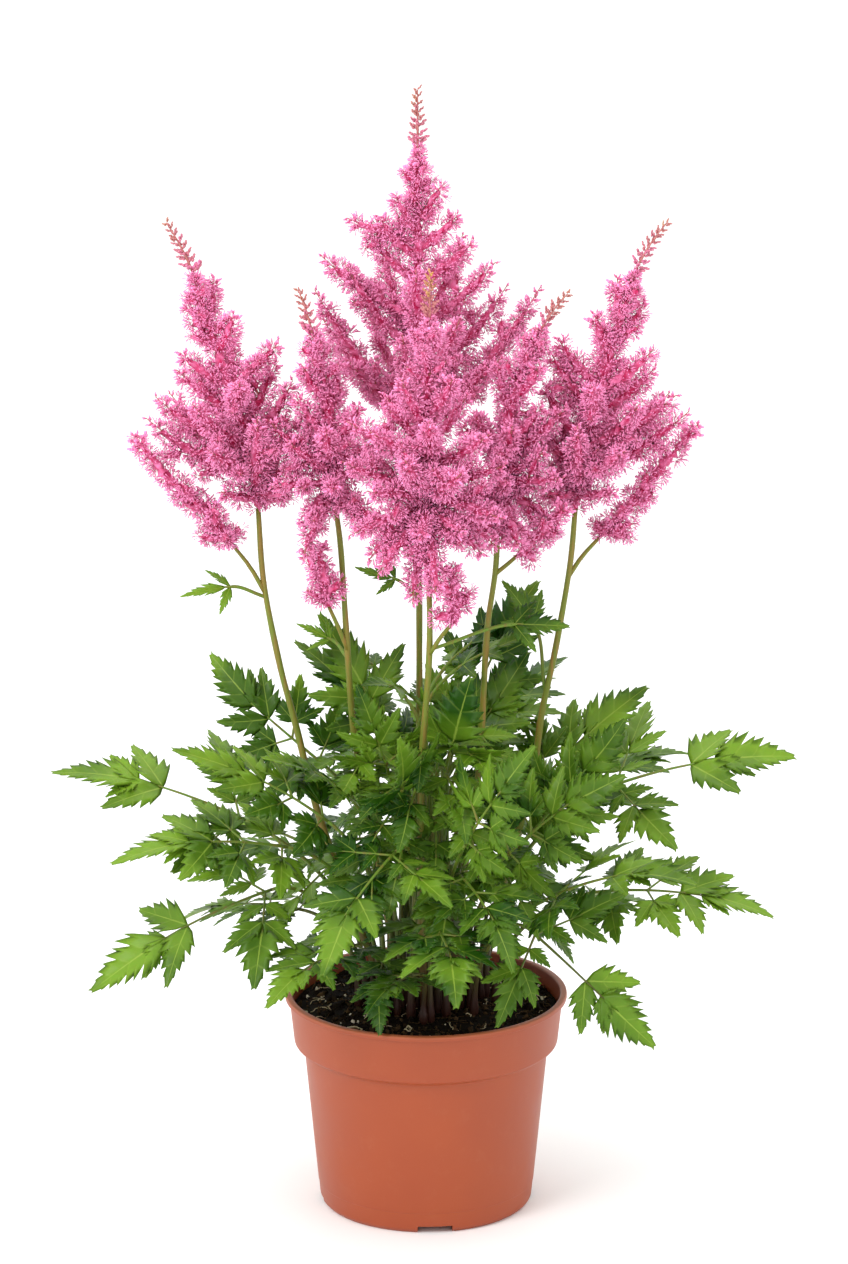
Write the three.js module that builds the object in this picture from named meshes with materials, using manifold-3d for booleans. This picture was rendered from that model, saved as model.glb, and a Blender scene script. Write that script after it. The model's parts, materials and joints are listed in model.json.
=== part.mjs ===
// An astilbe in its nursery pot: a clump of divided leaves and six flower stalks with feathery plumes,
// rooted in a filled, tapered plastic pot.
// Millimetres, +Z up, the origin in the middle of the pot's foot, the plant's front towards -Y.
import * as THREE from "three";
import { mergeVertices } from "three/addons/utils/BufferGeometryUtils.js";
import Module from "manifold-3d";

const wasm = await Module();
wasm.setup();

// ---------- driving dimensions ----------
const GAP = 0.3; // between two pieces that touch

const POT = {
  height: 132,
  rimRadius: 85,
  lipHeight: 3.4,
  bandTopRadius: 82.4,
  bandFootRadius: 79.4,
  bandHeight: 31,
  bodyTopRadius: 73.6,
  bodyFootRadius: 64,
  cornerRadius: 2.5,
  stepSlope: 3,
  wall: 1.6,
  floorUnder: 5,
  floorThickness: 2,
  footWidth: 6,
  sides: 24,
};
const NOTCH = { width: 21, height: 4.6, count: 4, turn: -85 };
const DRAIN = { radius: 4.5, ringRadius: 44, sides: 6 };

const SOIL = { sides: POT.sides, wallTop: 123, crown: 128.5, fall: 1.6, topRings: [0.6], ripple: 0.7 };
const ROOT_Z = 118; // where petioles and stalks end in the soil
const SURFACE_Z = 131; // just above the soil, where they begin to lean

const PETIOLE = { radius: 1.5, hubRadius: 1.05, tipRadius: 0.75, steps: 3, rise: 0.45, approach: 0.3 };
const LEAF_ARCH = 0.13; // rise of a blade's rib over its reach
// A leaflet's half thickness at its rib, how it folds and droops, its notches, and its opening in the rib.
const LEAFLET = {
  rib: 0.7, fold: 0.22, droop: 0.14, notch: 0.68, notchStep: 0.03, teethEnd: 0.95, opening: 3,
};
const SHORT_RIB = [0.44];
const LONG_RIB = [0.36, 0.68];
const STALK = { radius: 2.5, topRadius: 1.6, sides: 4 };
const FORK = { radius: 1.4, topRadius: 1.1, sides: 4 };
// Florets are rings of three points, each ring turned half a side past the one below.
const FLORETS = {
  step: 16, sides: 3, turn: Math.PI / 3 + 0.12, lead: 0.7, foot: 0.2, swell: 0.95, spread: 0.2, core: 10.5,
};
// A branch of a plume: how wide its florets are on a short and on a long one, and how far it arches.
const BRANCH = { narrow: 9, wide: 12, wideLength: 55, arch: 0.25 };
const BUDS = { step: 4, radius: 3.6, topRadius: 1.6, footRadius: 1.1 };

// How a leaf divides, as shares of the blade's reach from its hub to its tip: where each pair of leaflets or
// branches leaves the rib, how long and half as wide a leaflet is, and its angle from the rib.
const END_LEAFLET = { place: 0.57, length: 0.43, half: 0.125, teeth: 3 };
const UPPER_PAIR = { place: 0.45, length: 0.34, half: 0.09, angle: 46, teeth: 2 };
const FORMS = {
  full: {
    pairs: [
      {
        place: 0.02, angle: 66,
        pairs: [{ place: 0.14, length: 0.28, half: 0.08, angle: 52, teeth: 1 }],
        end: { place: 0.24, length: 0.36, half: 0.1, teeth: 2 },
      },
      UPPER_PAIR,
    ],
    end: END_LEAFLET,
  },
  plain: {
    pairs: [
      { place: 0.02, length: 0.36, half: 0.1, angle: 72, teeth: 2 },
      { place: 0.24, length: 0.38, half: 0.1, angle: 58, teeth: 2 },
      UPPER_PAIR,
    ],
    end: END_LEAFLET,
  },
  trefoil: {
    pairs: [{ place: 0, length: 0.66, half: 0.17, angle: 55, teeth: 2 }],
    end: { place: 0.2, length: 0.8, half: 0.2, teeth: 2 },
  },
};

// Leaves from the crown: form, how far the root is from the middle, hub, tip, where the upper face looks.
const LEAVES = [
  // left
  ["full", 36, [-108, -2, 240], [-222, 5, 272], [0, -0.5, 1]],
  ["plain", 30, [-82, -36, 234], [-184, -74, 242], [0, -0.5, 1]],
  ["full", 42, [-92, -25, 204], [-198, -50, 150], [0, -0.4, 1]],
  ["plain", 22, [-62, 34, 264], [-134, 50, 324], [-0.5, -0.7, 0.6]],
  ["plain", 32, [-58, -48, 254], [-148, -56, 301], [0, -0.4, 1]],
  // front, from left to right
  ["plain", 38, [-40, -50, 178], [-94, -124, 166], [0, 0, 1]],
  ["plain", 26, [-44, -38, 264], [-97, -89, 306], [0, -0.3, 1]],
  ["full", 36, [-18, -70, 242], [-66, -142, 193], [0, -0.4, 1]],
  ["plain", 12, [-19, -24, 267], [-40, -52, 341], [0, -1, 0.3]],
  ["plain", 42, [-2, -52, 160], [-33, -130, 166], [0, 0, 1]],
  ["plain", 40, [4, -62, 196], [22, -175, 184], [0, 0, 1]],
  ["plain", 24, [23, -74, 248], [64, -118, 320], [0, -0.8, 0.6]],
  ["plain", 34, [21, -55, 222], [52, -142, 196], [0, -0.4, 1]],
  ["full", 40, [62, -60, 190], [134, -100, 130], [0, -0.9, 0.5]],
  ["plain", 28, [47, -53, 234], [114, -76, 296], [0, -0.8, 0.6]],
  ["full", 32, [75, -50, 208], [158, -106, 240], [0, -0.3, 1]],
  // right
  ["plain", 22, [62, -24, 238], [120, -38, 314], [0, -0.9, 0.4]],
  ["plain", 42, [106, -16, 200], [208, -40, 194], [0, -0.4, 1]],
  ["full", 36, [110, 14, 256], [222, 12, 276], [0, -0.5, 1]],
  ["plain", 22, [55, 17, 241], [130, 36, 312], [0, -0.6, 0.8]],
  // middle
  ["plain", 9, [-16, 12, 276], [-78, 26, 344], [0, -0.3, 1]],
  ["plain", 10, [9, 8, 256], [64, 14, 340], [0, -0.7, 0.7]],
  ["plain", 14, [22, 27, 292], [64, 48, 376], [0, -0.7, 0.7]],
  ["trefoil", 16, [-14, -60, 278], [-22, -104, 322], [0, -0.8, 0.6]],
  ["trefoil", 20, [14, -34, 292], [34, -66, 348], [0, -0.8, 0.6]],
  ["trefoil", 16, [-32, -3, 314], [-66, 8, 366], [0, -0.8, 0.6]],
  // back, from right to left
  ["plain", 42, [67, 41, 175], [145, 90, 152], [0, 0, 1]],
  ["full", 34, [78, 60, 232], [165, 118, 250], [0, 0, 1]],
  ["plain", 28, [26, 43, 272], [86, 114, 308], [0, 0, 1]],
  ["full", 38, [33, 79, 221], [72, 175, 212], [0, 0, 1]],
  ["plain", 42, [2, 60, 180], [4, 150, 165], [0, 0, 1]],
  ["full", 34, [-25, 79, 231], [-62, 175, 238], [0, 0, 1]],
  ["plain", 22, [9, 56, 261], [-2, 140, 290], [0, 0, 1]],
  ["full", 40, [-72, 62, 204], [-150, 122, 200], [0, 0, 1]],
  ["plain", 42, [-74, 38, 170], [-152, 85, 150], [0, 0, 1]],
];

// Flower stalks: points from the soil to the plume's foot, then up the plume, then its spire of buds.
// Each branch of a plume: the height at which it leaves the axis, then its tip.
// A fork ends in a smaller plume of its own. Leaves sit on the stalk: form, start, hub, tip, face.
const STALKS = [
  {
    name: "back",
    stem: [[-3, 14, 131], [-4, 22, 200], [-4, 31, 270], [-4, 40, 370], [-4, 46, 440], [-5, 48, 470]],
    plume: [[-5, 49, 530], [-5, 50, 590], [-5, 50, 640]],
    buds: [[-5, 50, 657], [-5, 50, 673]],
    branches: [
      // left and right, from the lowest up
      [482, -66, 50, 553], [478, 68, 46, 556], [520, -48, 44, 570], [503, 48, 60, 553], [535, 41, 48, 570],
      [562, -32, 52, 584], [560, 28, 50, 583], [576, -28, 46, 598], [580, 19, 52, 598],
      // towards the front, then the back
      [484, -46, 8, 520], [486, 44, 4, 522], [495, -14, -12, 540], [500, 20, -4, 548], [530, -6, 10, 574],
      [484, -34, 104, 530], [488, 24, 108, 536], [478, -62, 82, 528], [480, 60, 84, 528],
      [520, -28, 88, 574], [530, 22, 90, 578],
      // short ones below the spire
      [590, -18, 40, 612], [598, 9, 42, 618], [606, -6, 66, 626],
    ],
    leaves: [["trefoil", [-4, 41, 366], [-17, 38, 378], [-44, 34, 388], [0, -0.8, 0.6]]],
  },
  {
    name: "left",
    stem: [[-24, -2, 131], [-37, -2, 165], [-52, -2, 207], [-66, -2, 250], [-77, -1, 297], [-87, 0, 337],
      [-96, 0, 387], [-99, 0, 432]],
    plume: [[-104, 0, 470], [-117, 0, 510], [-136, 0, 574]],
    buds: [[-143, 0, 590], [-151, 0, 604]],
    branches: [
      [508, -86, -4, 534], [484, -88, 18, 518], [508, -144, -2, 527], [492, -146, 8, 514],
      [466, -159, 4, 499], [452, -164, -8, 489], [460, -152, 34, 494], [470, -136, -30, 503],
      [496, -108, -40, 518], [446, -98, -36, 496], [458, -126, -42, 478], [442, -120, -22, 448],
      [446, -84, -3, 458], [444, -84, 30, 468], [454, -106, 50, 494], [464, -132, 46, 506], [500, -116, 34, 536],
      [528, -112, -10, 552], [532, -140, 6, 556], [546, -124, 14, 568],
    ],
    forks: [{
      stem: [[-95, 0, 380], [-104, -2, 397], [-115, -4, 412]],
      plume: [[-131, -6, 434], [-150, -10, 452], [-171, -12, 479]],
      branches: [[416, -117, -20, 420], [418, -132, 6, 424], [432, -146, -2, 440], [440, -142, -18, 452]],
    }],
    leaves: [
      ["trefoil", [-95, 0, 378], [-114, -6, 386], [-146, -12, 382], [0, -0.7, 0.7]],
    ],
  },
  {
    name: "left_centre",
    stem: [[-15, -10, 131], [-24, -12, 190], [-34, -14, 250], [-43, -17, 302], [-47, -19, 362],
      [-50, -20, 412], [-53, -20, 438]],
    plume: [[-55, -20, 470], [-60, -20, 515], [-66, -20, 542]],
    buds: [[-70, -20, 557], [-74, -20, 568]],
    branches: [
      [482, -76, -22, 506], [478, -38, -30, 502], [462, -80, -36, 482], [456, -30, -44, 478],
      [452, -72, -38, 430], [450, -40, -44, 436], [470, -58, -50, 492], [456, -54, -54, 458],
      [462, -74, 8, 488], [466, -42, 12, 492], [480, -60, 8, 508], [498, -50, -12, 524],
      [504, -72, -30, 526],
    ],
    forks: [{
      stem: [[-46, -19, 350], [-51, -22, 364], [-57, -26, 379]],
      plume: [[-60, -29, 398], [-63, -31, 417]],
      branches: [[384, -70, -34, 392], [388, -50, -36, 398], [396, -70, -26, 412]],
    }],
    leaves: [["trefoil", [-46, -18, 345], [-55, -10, 354], [-78, -4, 362], [0, -0.7, 0.7]]],
  },
  {
    name: "front_centre",
    stem: [[-1, -22, 131], [-3, -32, 205], [-3, -43, 280], [2, -54, 361], [1, -60, 422], [1, -62, 435]],
    plume: [[1, -63, 466], [0, -64, 516], [2, -64, 562]],
    buds: [[2, -64, 576], [2, -64, 588]],
    branches: [
      // hanging and reaching forwards
      [446, -28, -90, 416], [450, -4, -98, 440], [448, 22, -94, 442], [446, 34, -78, 424],
      [460, -34, -98, 468], [464, -12, -112, 490], [462, 20, -112, 482], [480, 2, -102, 510],
      [476, 36, -92, 500], [482, -32, -86, 500],
      // to the sides and back
      [462, -48, -76, 480], [464, 46, -68, 476], [488, -24, -50, 514], [490, 24, -46, 512],
      [470, 0, -34, 494], [500, -14, -76, 528], [504, 16, -74, 530],
    ],
    forks: [{
      stem: [[2, -54, 358], [9, -60, 371], [16, -66, 381]],
      plume: [[17, -71, 398], [15, -77, 416]],
      branches: [[388, 4, -76, 386], [392, 26, -72, 402], [400, 10, -84, 412]],
    }],
    leaves: [["trefoil", [2, -54, 361], [50, -46, 374], [84, -40, 369], [0, -0.6, 0.8]]],
  },
  {
    name: "right_centre",
    stem: [[14, -9, 131], [20, -11, 190], [27, -14, 240], [31, -16, 272], [33, -17, 302], [36, -19, 362],
      [41, -20, 402], [42, -20, 436]],
    plume: [[45, -20, 475], [52, -20, 508], [67, -20, 545]],
    buds: [[75, -20, 558], [82, -20, 566]],
    branches: [
      [476, 68, -22, 500], [474, 28, -32, 498], [460, 70, -34, 476], [452, 66, -28, 452],
      [450, 28, -42, 426], [456, 46, -52, 462], [468, 50, -48, 494], [448, 20, -34, 450],
      [460, 62, 8, 484], [464, 30, 8, 488], [478, 52, 8, 508], [496, 42, -14, 522], [504, 66, -30, 526],
    ],
    forks: [{
      stem: [[40, -20, 397], [48, -21, 404], [54, -23, 410]],
      plume: [[62, -29, 420], [82, -35, 442]],
      branches: [[414, 64, -24, 406], [422, 78, -28, 426], [428, 68, -44, 438]],
    }],
  },
  {
    name: "right",
    stem: [[26, -1, 131], [38, -1, 170], [52, 0, 220], [64, 0, 270], [69, 0, 307], [77, 0, 347],
      [85, 0, 397], [88, 0, 432]],
    plume: [[95, 0, 475], [105, 0, 515], [122, 0, 575]],
    buds: [[131, 0, 592], [140, 0, 604]],
    branches: [
      [508, 77, -4, 536], [488, 80, 18, 520], [506, 133, -2, 529], [492, 135, 8, 516],
      [470, 147, 4, 500], [456, 154, -8, 493], [462, 144, 34, 494], [470, 126, -30, 505],
      [492, 96, -40, 516], [450, 88, -40, 492], [458, 116, -42, 478], [444, 112, -22, 448],
      [448, 72, -3, 460], [446, 72, 30, 470], [454, 96, 50, 494], [464, 122, 46, 506], [500, 106, 34, 536],
      [528, 98, -10, 552], [532, 128, 6, 556], [546, 112, 14, 568],
    ],
    forks: [{
      stem: [[84, 0, 390], [92, 2, 402], [103, 4, 414]],
      plume: [[122, 7, 434], [140, 10, 456], [160, 12, 480]],
      branches: [[418, 108, 12, 416], [420, 122, -4, 424], [434, 136, 12, 440], [444, 130, 0, 454]],
    }],
    leaves: [["trefoil", [71, 0, 318], [64, 5, 360], [44, 9, 386], [0, -0.7, 0.7]]],
  },
];

// ---------- finishes ----------
const finish = (color, roughness) => new THREE.MeshStandardMaterial({ color, roughness, metalness: 0 });
const PLASTIC = finish("#c46445", 0.5);
const PEAT = finish("#1d1712", 0.95);
const LEAF = finish("#4e8f2a", 0.55);
const STEM = finish("#8a8a35", 0.6);
const BLOSSOM = finish("#f28cc0", 0.7);
const BUD = finish("#c07a62", 0.7);

// ---------- shared geometry ----------
const UP = new THREE.Vector3(0, 0, 1);
const EAST = new THREE.Vector3(1, 0, 0);
const at = ([x, y, z]) => new THREE.Vector3(x, y, z);
const mix = THREE.MathUtils.lerp;
const radians = THREE.MathUtils.degToRad;

// Draws between 0 and 1, the same on every run.
let drawn = 11;
function draw() {
  drawn = (drawn * 16807) % 2147483647;
  return drawn / 2147483647;
}

function solidOf(points, faces) {
  const vertProperties = new Float32Array(points.flatMap((p) => [p.x, p.y, p.z]));
  return new wasm.Manifold(new wasm.Mesh({ numProp: 3, vertProperties, triVerts: new Uint32Array(faces) }));
}

// The solid of a three.js geometry; faces that end in one point at a pole are dropped.
function solidOfGeometry(geometry) {
  geometry.deleteAttribute("normal");
  geometry.deleteAttribute("uv");
  const merged = mergeVertices(geometry, 1e-4);
  const corners = merged.index.array;
  const faces = [];
  for (let i = 0; i < corners.length; i += 3) {
    const [a, b, c] = corners.slice(i, i + 3);
    if (a !== b && b !== c && c !== a) faces.push(a, b, c);
  }
  const places = merged.attributes.position;
  const pointAt = (_, i) => new THREE.Vector3().fromBufferAttribute(places, i);
  return solidOf(Array.from({ length: places.count }, pointAt), faces);
}

// One body from several that run into each other: hollows are filled and loose scraps are dropped.
function fuse(solids) {
  const joined = solids.reduce((all, next) => all.add(next));
  return joined.decompose().reduce((most, body) => (body.volume() > most.volume() ? body : most));
}

function piece(name, solid, material) {
  const { vertProperties, triVerts } = solid.getMesh();
  const geometry = new THREE.BufferGeometry();
  geometry.setAttribute("position", new THREE.BufferAttribute(new Float32Array(vertProperties), 3));
  geometry.setIndex(Array.from(triVerts));
  geometry.computeVertexNormals();
  const mesh = new THREE.Mesh(geometry, material);
  mesh.name = name;
  return mesh;
}

// A closed skin over rings of points, drawn together to one point at each end.
function skin(rings, start, end) {
  const sides = rings[0].length;
  const points = [start, ...rings.flat(), end];
  const corner = (ring, side) => 1 + ring * sides + (side % sides);
  const last = rings.length - 1;
  const faces = [];
  for (let side = 0; side < sides; side++) {
    faces.push(0, corner(0, side + 1), corner(0, side));
    for (let ring = 0; ring < last; ring++) {
      faces.push(corner(ring, side), corner(ring, side + 1), corner(ring + 1, side));
      faces.push(corner(ring, side + 1), corner(ring + 1, side + 1), corner(ring + 1, side));
    }
    faces.push(corner(last, side), corner(last, side + 1), points.length - 1);
  }
  return solidOf(points, faces);
}

// A vector turned square to 'ahead', at length 1.
function squareTo(ahead, vector) {
  return vector.clone().addScaledVector(ahead, -vector.dot(ahead)).normalize();
}

// A ring of points round 'centre', seen anticlockwise by whoever it comes towards.
function ring(centre, ahead, side, radii, turn = 0) {
  const first = squareTo(ahead, side);
  const second = ahead.clone().cross(first);
  return radii.map((radius, i) => {
    const angle = turn + (i / radii.length) * 2 * Math.PI;
    return centre.clone()
      .addScaledVector(first, radius * Math.cos(angle))
      .addScaledVector(second, radius * Math.sin(angle));
  });
}

const evenRing = (centre, ahead, side, radius, sides) => ring(centre, ahead, side, Array(sides).fill(radius));

// Rings along a curve whose radius goes evenly from one size to the other.
function taper(curve, steps, side, startRadius, endRadius, sides) {
  return Array.from({ length: steps + 1 }, (_, i) => {
    const share = i / steps;
    const radius = mix(startRadius, endRadius, share);
    return evenRing(curve.getPoint(share), curve.getTangent(share), side, radius, sides);
  });
}

const smoothCurve = (points) => new THREE.CatmullRomCurve3(points, false, "catmullrom", 0.5);

// ---------- pot ----------
function potSolid() {
  const { height, rimRadius, wall, footWidth, floorUnder, floorThickness } = POT;
  const bandFoot = height - POT.bandHeight;
  const lipFoot = height - POT.lipHeight;
  const corner = POT.cornerRadius;
  const floorTop = floorUnder + floorThickness;
  const outside = [
    [0, floorUnder],
    [POT.bodyFootRadius - footWidth - corner, floorUnder],
    [POT.bodyFootRadius - footWidth, 0],
    [POT.bodyFootRadius - corner, 0],
    [POT.bodyFootRadius, corner],
    [POT.bodyTopRadius, bandFoot - POT.stepSlope],
    [POT.bandFootRadius, bandFoot],
    [POT.bandTopRadius, lipFoot],
    [rimRadius, lipFoot],
    [rimRadius, height],
  ];
  const inside = [
    [POT.bandTopRadius - wall, height],
    [POT.bandFootRadius - wall, bandFoot + wall],
    [POT.bodyTopRadius - wall, bandFoot - POT.stepSlope + wall],
    [POT.bodyFootRadius - wall, floorTop],
    [0, floorTop],
  ];
  const profile = [...outside, ...inside].map(([radius, z]) => new THREE.Vector2(radius, z));
  const shell = new THREE.LatheGeometry(profile, POT.sides).rotateX(Math.PI / 2);
  let pot = solidOfGeometry(shell);
  for (let i = 0; i < NOTCH.count; i++) {
    const turn = radians(NOTCH.turn + (i * 360) / NOTCH.count);
    const notch = new THREE.BoxGeometry(POT.bodyFootRadius, NOTCH.width, NOTCH.height * 2);
    notch.translate(POT.bodyFootRadius, 0, 0).rotateZ(turn);
    const hole = new THREE.CylinderGeometry(DRAIN.radius, DRAIN.radius, floorTop * 3, DRAIN.sides);
    hole.rotateX(Math.PI / 2).translate(DRAIN.ringRadius, 0, floorUnder).rotateZ(turn);
    pot = pot.subtract(solidOfGeometry(notch)).subtract(solidOfGeometry(hole));
  }
  return pot;
}

// ---------- soil ----------
// Height of the soil at a distance from the middle: highest at the crown, lowest along the wall.
function soilHeight(radius, wallRadius) {
  return mix(SOIL.crown, SOIL.wallTop, (radius / wallRadius) ** SOIL.fall);
}

function soilSolid(roots) {
  const bandFoot = POT.height - POT.bandHeight;
  const inset = POT.wall + GAP;
  const floorTop = POT.floorUnder + POT.floorThickness + GAP;
  const bandShare = (SOIL.wallTop - bandFoot) / POT.bandHeight;
  const wallRadius = mix(POT.bandFootRadius, POT.bandTopRadius, bandShare) - inset - GAP;
  const wallRings = [
    [POT.bodyFootRadius - inset, floorTop],
    [POT.bodyTopRadius - inset, bandFoot - POT.stepSlope + inset],
    [POT.bandFootRadius - inset, bandFoot + inset],
    [wallRadius, SOIL.wallTop],
  ];
  const topRings = SOIL.topRings.map((share) => [wallRadius * share, null]);
  const rings = [...wallRings, ...topRings].map(([radius, z]) => {
    const middle = new THREE.Vector3(0, 0, z ?? soilHeight(radius, wallRadius));
    const points = evenRing(middle, UP, EAST, radius, SOIL.sides);
    if (z === null) points.forEach((p) => (p.z += (2 * draw() - 1) * SOIL.ripple));
    return points;
  });
  const soil = skin(rings, new THREE.Vector3(0, 0, floorTop), new THREE.Vector3(0, 0, SOIL.crown));
  return roots.reduce((rest, root) => rest.subtract(rootHole(root)), soil);
}

// A plain hole that a root stands in, a gap wider than the root all round.
function rootHole({ x, y, side, radius, sides }) {
  const wide = radius + GAP / Math.cos(Math.PI / sides);
  const bottom = new THREE.Vector3(x, y, ROOT_Z - GAP);
  const top = new THREE.Vector3(x, y, SURFACE_Z);
  return skin([evenRing(bottom, UP, side, wide, sides), evenRing(top, UP, side, wide, sides)], bottom, top);
}

// ---------- leaves ----------
// A leaf is one thin skin. Rings of four points (upper, right, lower, left) run up its petiole and its rib,
// and leaflets and side branches open out of their right and left points.
class LeafSkin {
  points = [];
  faces = [];

  add(point) {
    return this.points.push(point) - 1;
  }

  ring([centre, ahead, normal], radius) {
    const side = ahead.clone().cross(normal);
    return [[normal, 1], [side, 1], [normal, -1], [side, -1]].map(([way, sign]) => (
      this.add(centre.clone().addScaledVector(way, sign * radius))
    ));
  }

  // The four walls between two rings.
  walls(near, far) {
    for (let i = 0; i < 4; i++) {
      const next = (i + 1) % 4;
      this.faces.push(near[i], near[next], far[i], near[next], far[next], far[i]);
    }
  }

  // Triangles from each edge of a loop to a point of the rib; the edge after 'open' is left out.
  fan(loop, ribOf, open = -1) {
    loop.forEach((corner, i) => {
      const next = loop[(i + 1) % loop.length];
      const [rib, nextRib] = [ribOf(i), ribOf(i + 1)];
      if (i !== open) this.faces.push(corner, next, rib);
      if (nextRib !== rib) this.faces.push(next, nextRib, rib);
    });
  }

  // The loops round what opens on one side between two rings: the upper one, then the lower one.
  // The rim runs from the near ring to the far ring.
  static sideLoops(near, far, hand, rim) {
    const back = [...rim].reverse();
    if (hand > 0) {
      return [[near[0], near[1], ...rim, far[1], far[0]], [far[2], far[1], ...back, near[1], near[2]]];
    }
    return [[far[0], far[3], ...back, near[3], near[0]], [near[2], near[3], ...rim, far[3], far[2]]];
  }

  // A leaflet on one side of the rib, between two of its rings.
  sideLeaflet(near, far, hand, frame, shape) {
    const { right, tip, left, ribs } = this.leafletPoints(frame, shape);
    const rim = hand > 0 ? [...right, tip, ...left.reverse()] : [...left, tip, ...right.reverse()];
    const [upper, lower] = LeafSkin.sideLoops(near, far, hand, rim);
    this.fan(upper, () => ribs[0][0]);
    this.fan(lower, () => ribs[0][1]);
  }

  // The leaflet at the end of a rib.
  endLeaflet(last, frame, shape) {
    const { right, tip, left, ribs } = this.leafletPoints(frame, shape);
    const upper = [last[0], last[1], ...right, tip, ...left.reverse(), last[3]];
    const lower = [last[2], ...upper.slice(1).reverse()];
    const nearBase = Math.ceil(right.length / 2) + 1;
    const ribFor = (face) => (i) => {
      const corner = i % upper.length;
      const far = corner > nearBase && corner < upper.length - nearBase;
      return ribs[far ? ribs.length - 1 : 0][face];
    };
    this.fan(upper, ribFor(0));
    this.fan(lower, ribFor(1));
  }

  // The rim of a leaflet, sharp, folded up from the rib and drooping to the tip, and the points of its rib.
  // Each tooth is a point, with a notch between it and the next.
  leafletPoints([base, ahead, normal], { length, half, teeth }) {
    const side = ahead.clone().cross(normal);
    const place = (share, out, up = 0) => this.add(base.clone()
      .addScaledVector(ahead, share * length)
      .addScaledVector(side, out)
      .addScaledVector(normal, LEAFLET.fold * Math.abs(out) - LEAFLET.droop * length * share ** 2 + up));
    const edge = [];
    for (let tooth = 1; tooth <= teeth; tooth++) {
      const share = (LEAFLET.teethEnd * tooth) / (teeth + 1);
      edge.push([share, leafletHalf(share, half)]);
      const notch = share + LEAFLET.notchStep;
      if (tooth < teeth) edge.push([notch, LEAFLET.notch * leafletHalf(notch, half)]);
    }
    const ribShares = teeth > 2 ? LONG_RIB : SHORT_RIB;
    return {
      right: edge.map(([share, out]) => place(share, out)),
      tip: place(1, 0),
      left: edge.map(([share, out]) => place(share, -out)),
      ribs: ribShares.map((share) => [place(share, 0, LEAFLET.rib), place(share, 0, -LEAFLET.rib)]),
    };
  }

  // A rib from a ring already made: at each node a pair of leaflets or branches, and a leaflet at its end.
  // 'along' gives the rib's place, direction and upward normal at a share of its reach.
  rib(start, along, reach, radius, { pairs, end }) {
    let ring = start;
    for (const { place, ...shape } of pairs) {
      const far = place + LEAFLET.opening / reach;
      const [nearRing, farRing] = [place, far].map((share) => this.ring(along(share), radius));
      if (ring) this.walls(ring, nearRing);
      const [centre, ahead, normal] = along((place + far) / 2);
      for (const hand of [-1, 1]) {
        const frame = [centre, turned(ahead, normal, -hand * shape.angle), normal];
        if (shape.pairs) this.branch(nearRing, farRing, hand, frame, reach, shape);
        else this.sideLeaflet(nearRing, farRing, hand, frame, scaled(shape, reach));
      }
      ring = farRing;
    }
    const [centre, ahead, normal] = along(end.place);
    const last = this.ring([centre, ahead, normal], Math.min(radius, PETIOLE.tipRadius));
    this.walls(ring, last);
    this.endLeaflet(last, [centre, ahead, normal], scaled(end, reach));
  }

  // A branch of the rib with leaflets of its own.
  branch(near, far, hand, [base, ahead, normal], reach, shape) {
    const { tipRadius } = PETIOLE;
    const centre = base.clone().addScaledVector(ahead, 2 * tipRadius);
    const upper = this.add(centre.clone().addScaledVector(normal, tipRadius));
    const lower = this.add(centre.clone().addScaledVector(normal, -tipRadius));
    const [upperLoop, lowerLoop] = LeafSkin.sideLoops(near, far, hand, []);
    this.fan(upperLoop, () => upper, 1);
    this.fan(lowerLoop, () => lower, 1);
    const [right, left] = hand > 0 ? [near[1], far[1]] : [far[3], near[3]];
    const along = (share) => [base.clone().addScaledVector(ahead, share * reach), ahead, normal];
    this.rib([upper, right, lower, left], along, reach, tipRadius, shape);
  }
}

// Half width of a leaflet along its rib, widest a little below the middle.
const leafletHalf = (share, half) => half * Math.sin(Math.PI * share ** 0.7) ** 0.8;

// A leaflet's shares of its leaf's reach as millimetres.
function scaled({ length, half, ...rest }, reach) {
  return { length: length * reach, half: half * reach, ...rest };
}

// 'vector' turned by an angle round 'axis'.
const turned = (vector, axis, degrees) => vector.clone().applyAxisAngle(axis, radians(degrees));

// A compound leaf: a petiole from 'start' to the hub, then the arched rib of its blade.
function leafSolid(form, start, rise, hub, tip, face, radius, steps) {
  const reach = tip.distanceTo(hub);
  const chord = tip.clone().sub(hub).normalize();
  const normal = squareTo(chord, face);
  const crest = hub.clone().add(tip).multiplyScalar(0.5).addScaledVector(normal, LEAF_ARCH * reach);
  const rib = new THREE.QuadraticBezierCurve3(hub, crest, tip);
  const run = hub.distanceTo(start);
  const petiole = new THREE.CubicBezierCurve3(
    start,
    start.clone().addScaledVector(rise, PETIOLE.rise * run),
    hub.clone().addScaledVector(rib.getTangent(0), -PETIOLE.approach * run),
    hub,
  );
  const skin = new LeafSkin();
  const across = chord.clone().cross(normal);
  const frameOn = (curve) => (share) => {
    const ahead = curve.getTangent(share);
    return [curve.getPoint(share), ahead, squareTo(ahead, across).cross(ahead)];
  };
  const onPetiole = frameOn(petiole);
  let last;
  if (rise === UP) {
    const [foot, ahead, up] = onPetiole(0);
    last = skin.ring([foot.clone().setZ(ROOT_Z), ahead, up], radius);
  }
  for (let i = 0; i < steps; i++) {
    const next = skin.ring(onPetiole(i / steps), mix(radius, PETIOLE.hubRadius, i / steps));
    if (last) skin.walls(last, next);
    last = next;
  }
  // The root's end is flat: two triangles close its ring, which is the first one made.
  skin.faces.push(0, 2, 1, 0, 3, 2);
  skin.rib(last, frameOn(rib), reach, PETIOLE.hubRadius, FORMS[form]);
  return solidOf(skin.points, skin.faces);
}

// Where a leaf of the crown stands in the soil: straight below the line from the middle to its hub.
function rootOf([, distance, hub]) {
  const out = at(hub).setZ(0).normalize().multiplyScalar(distance);
  return { x: out.x, y: out.y };
}

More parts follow.
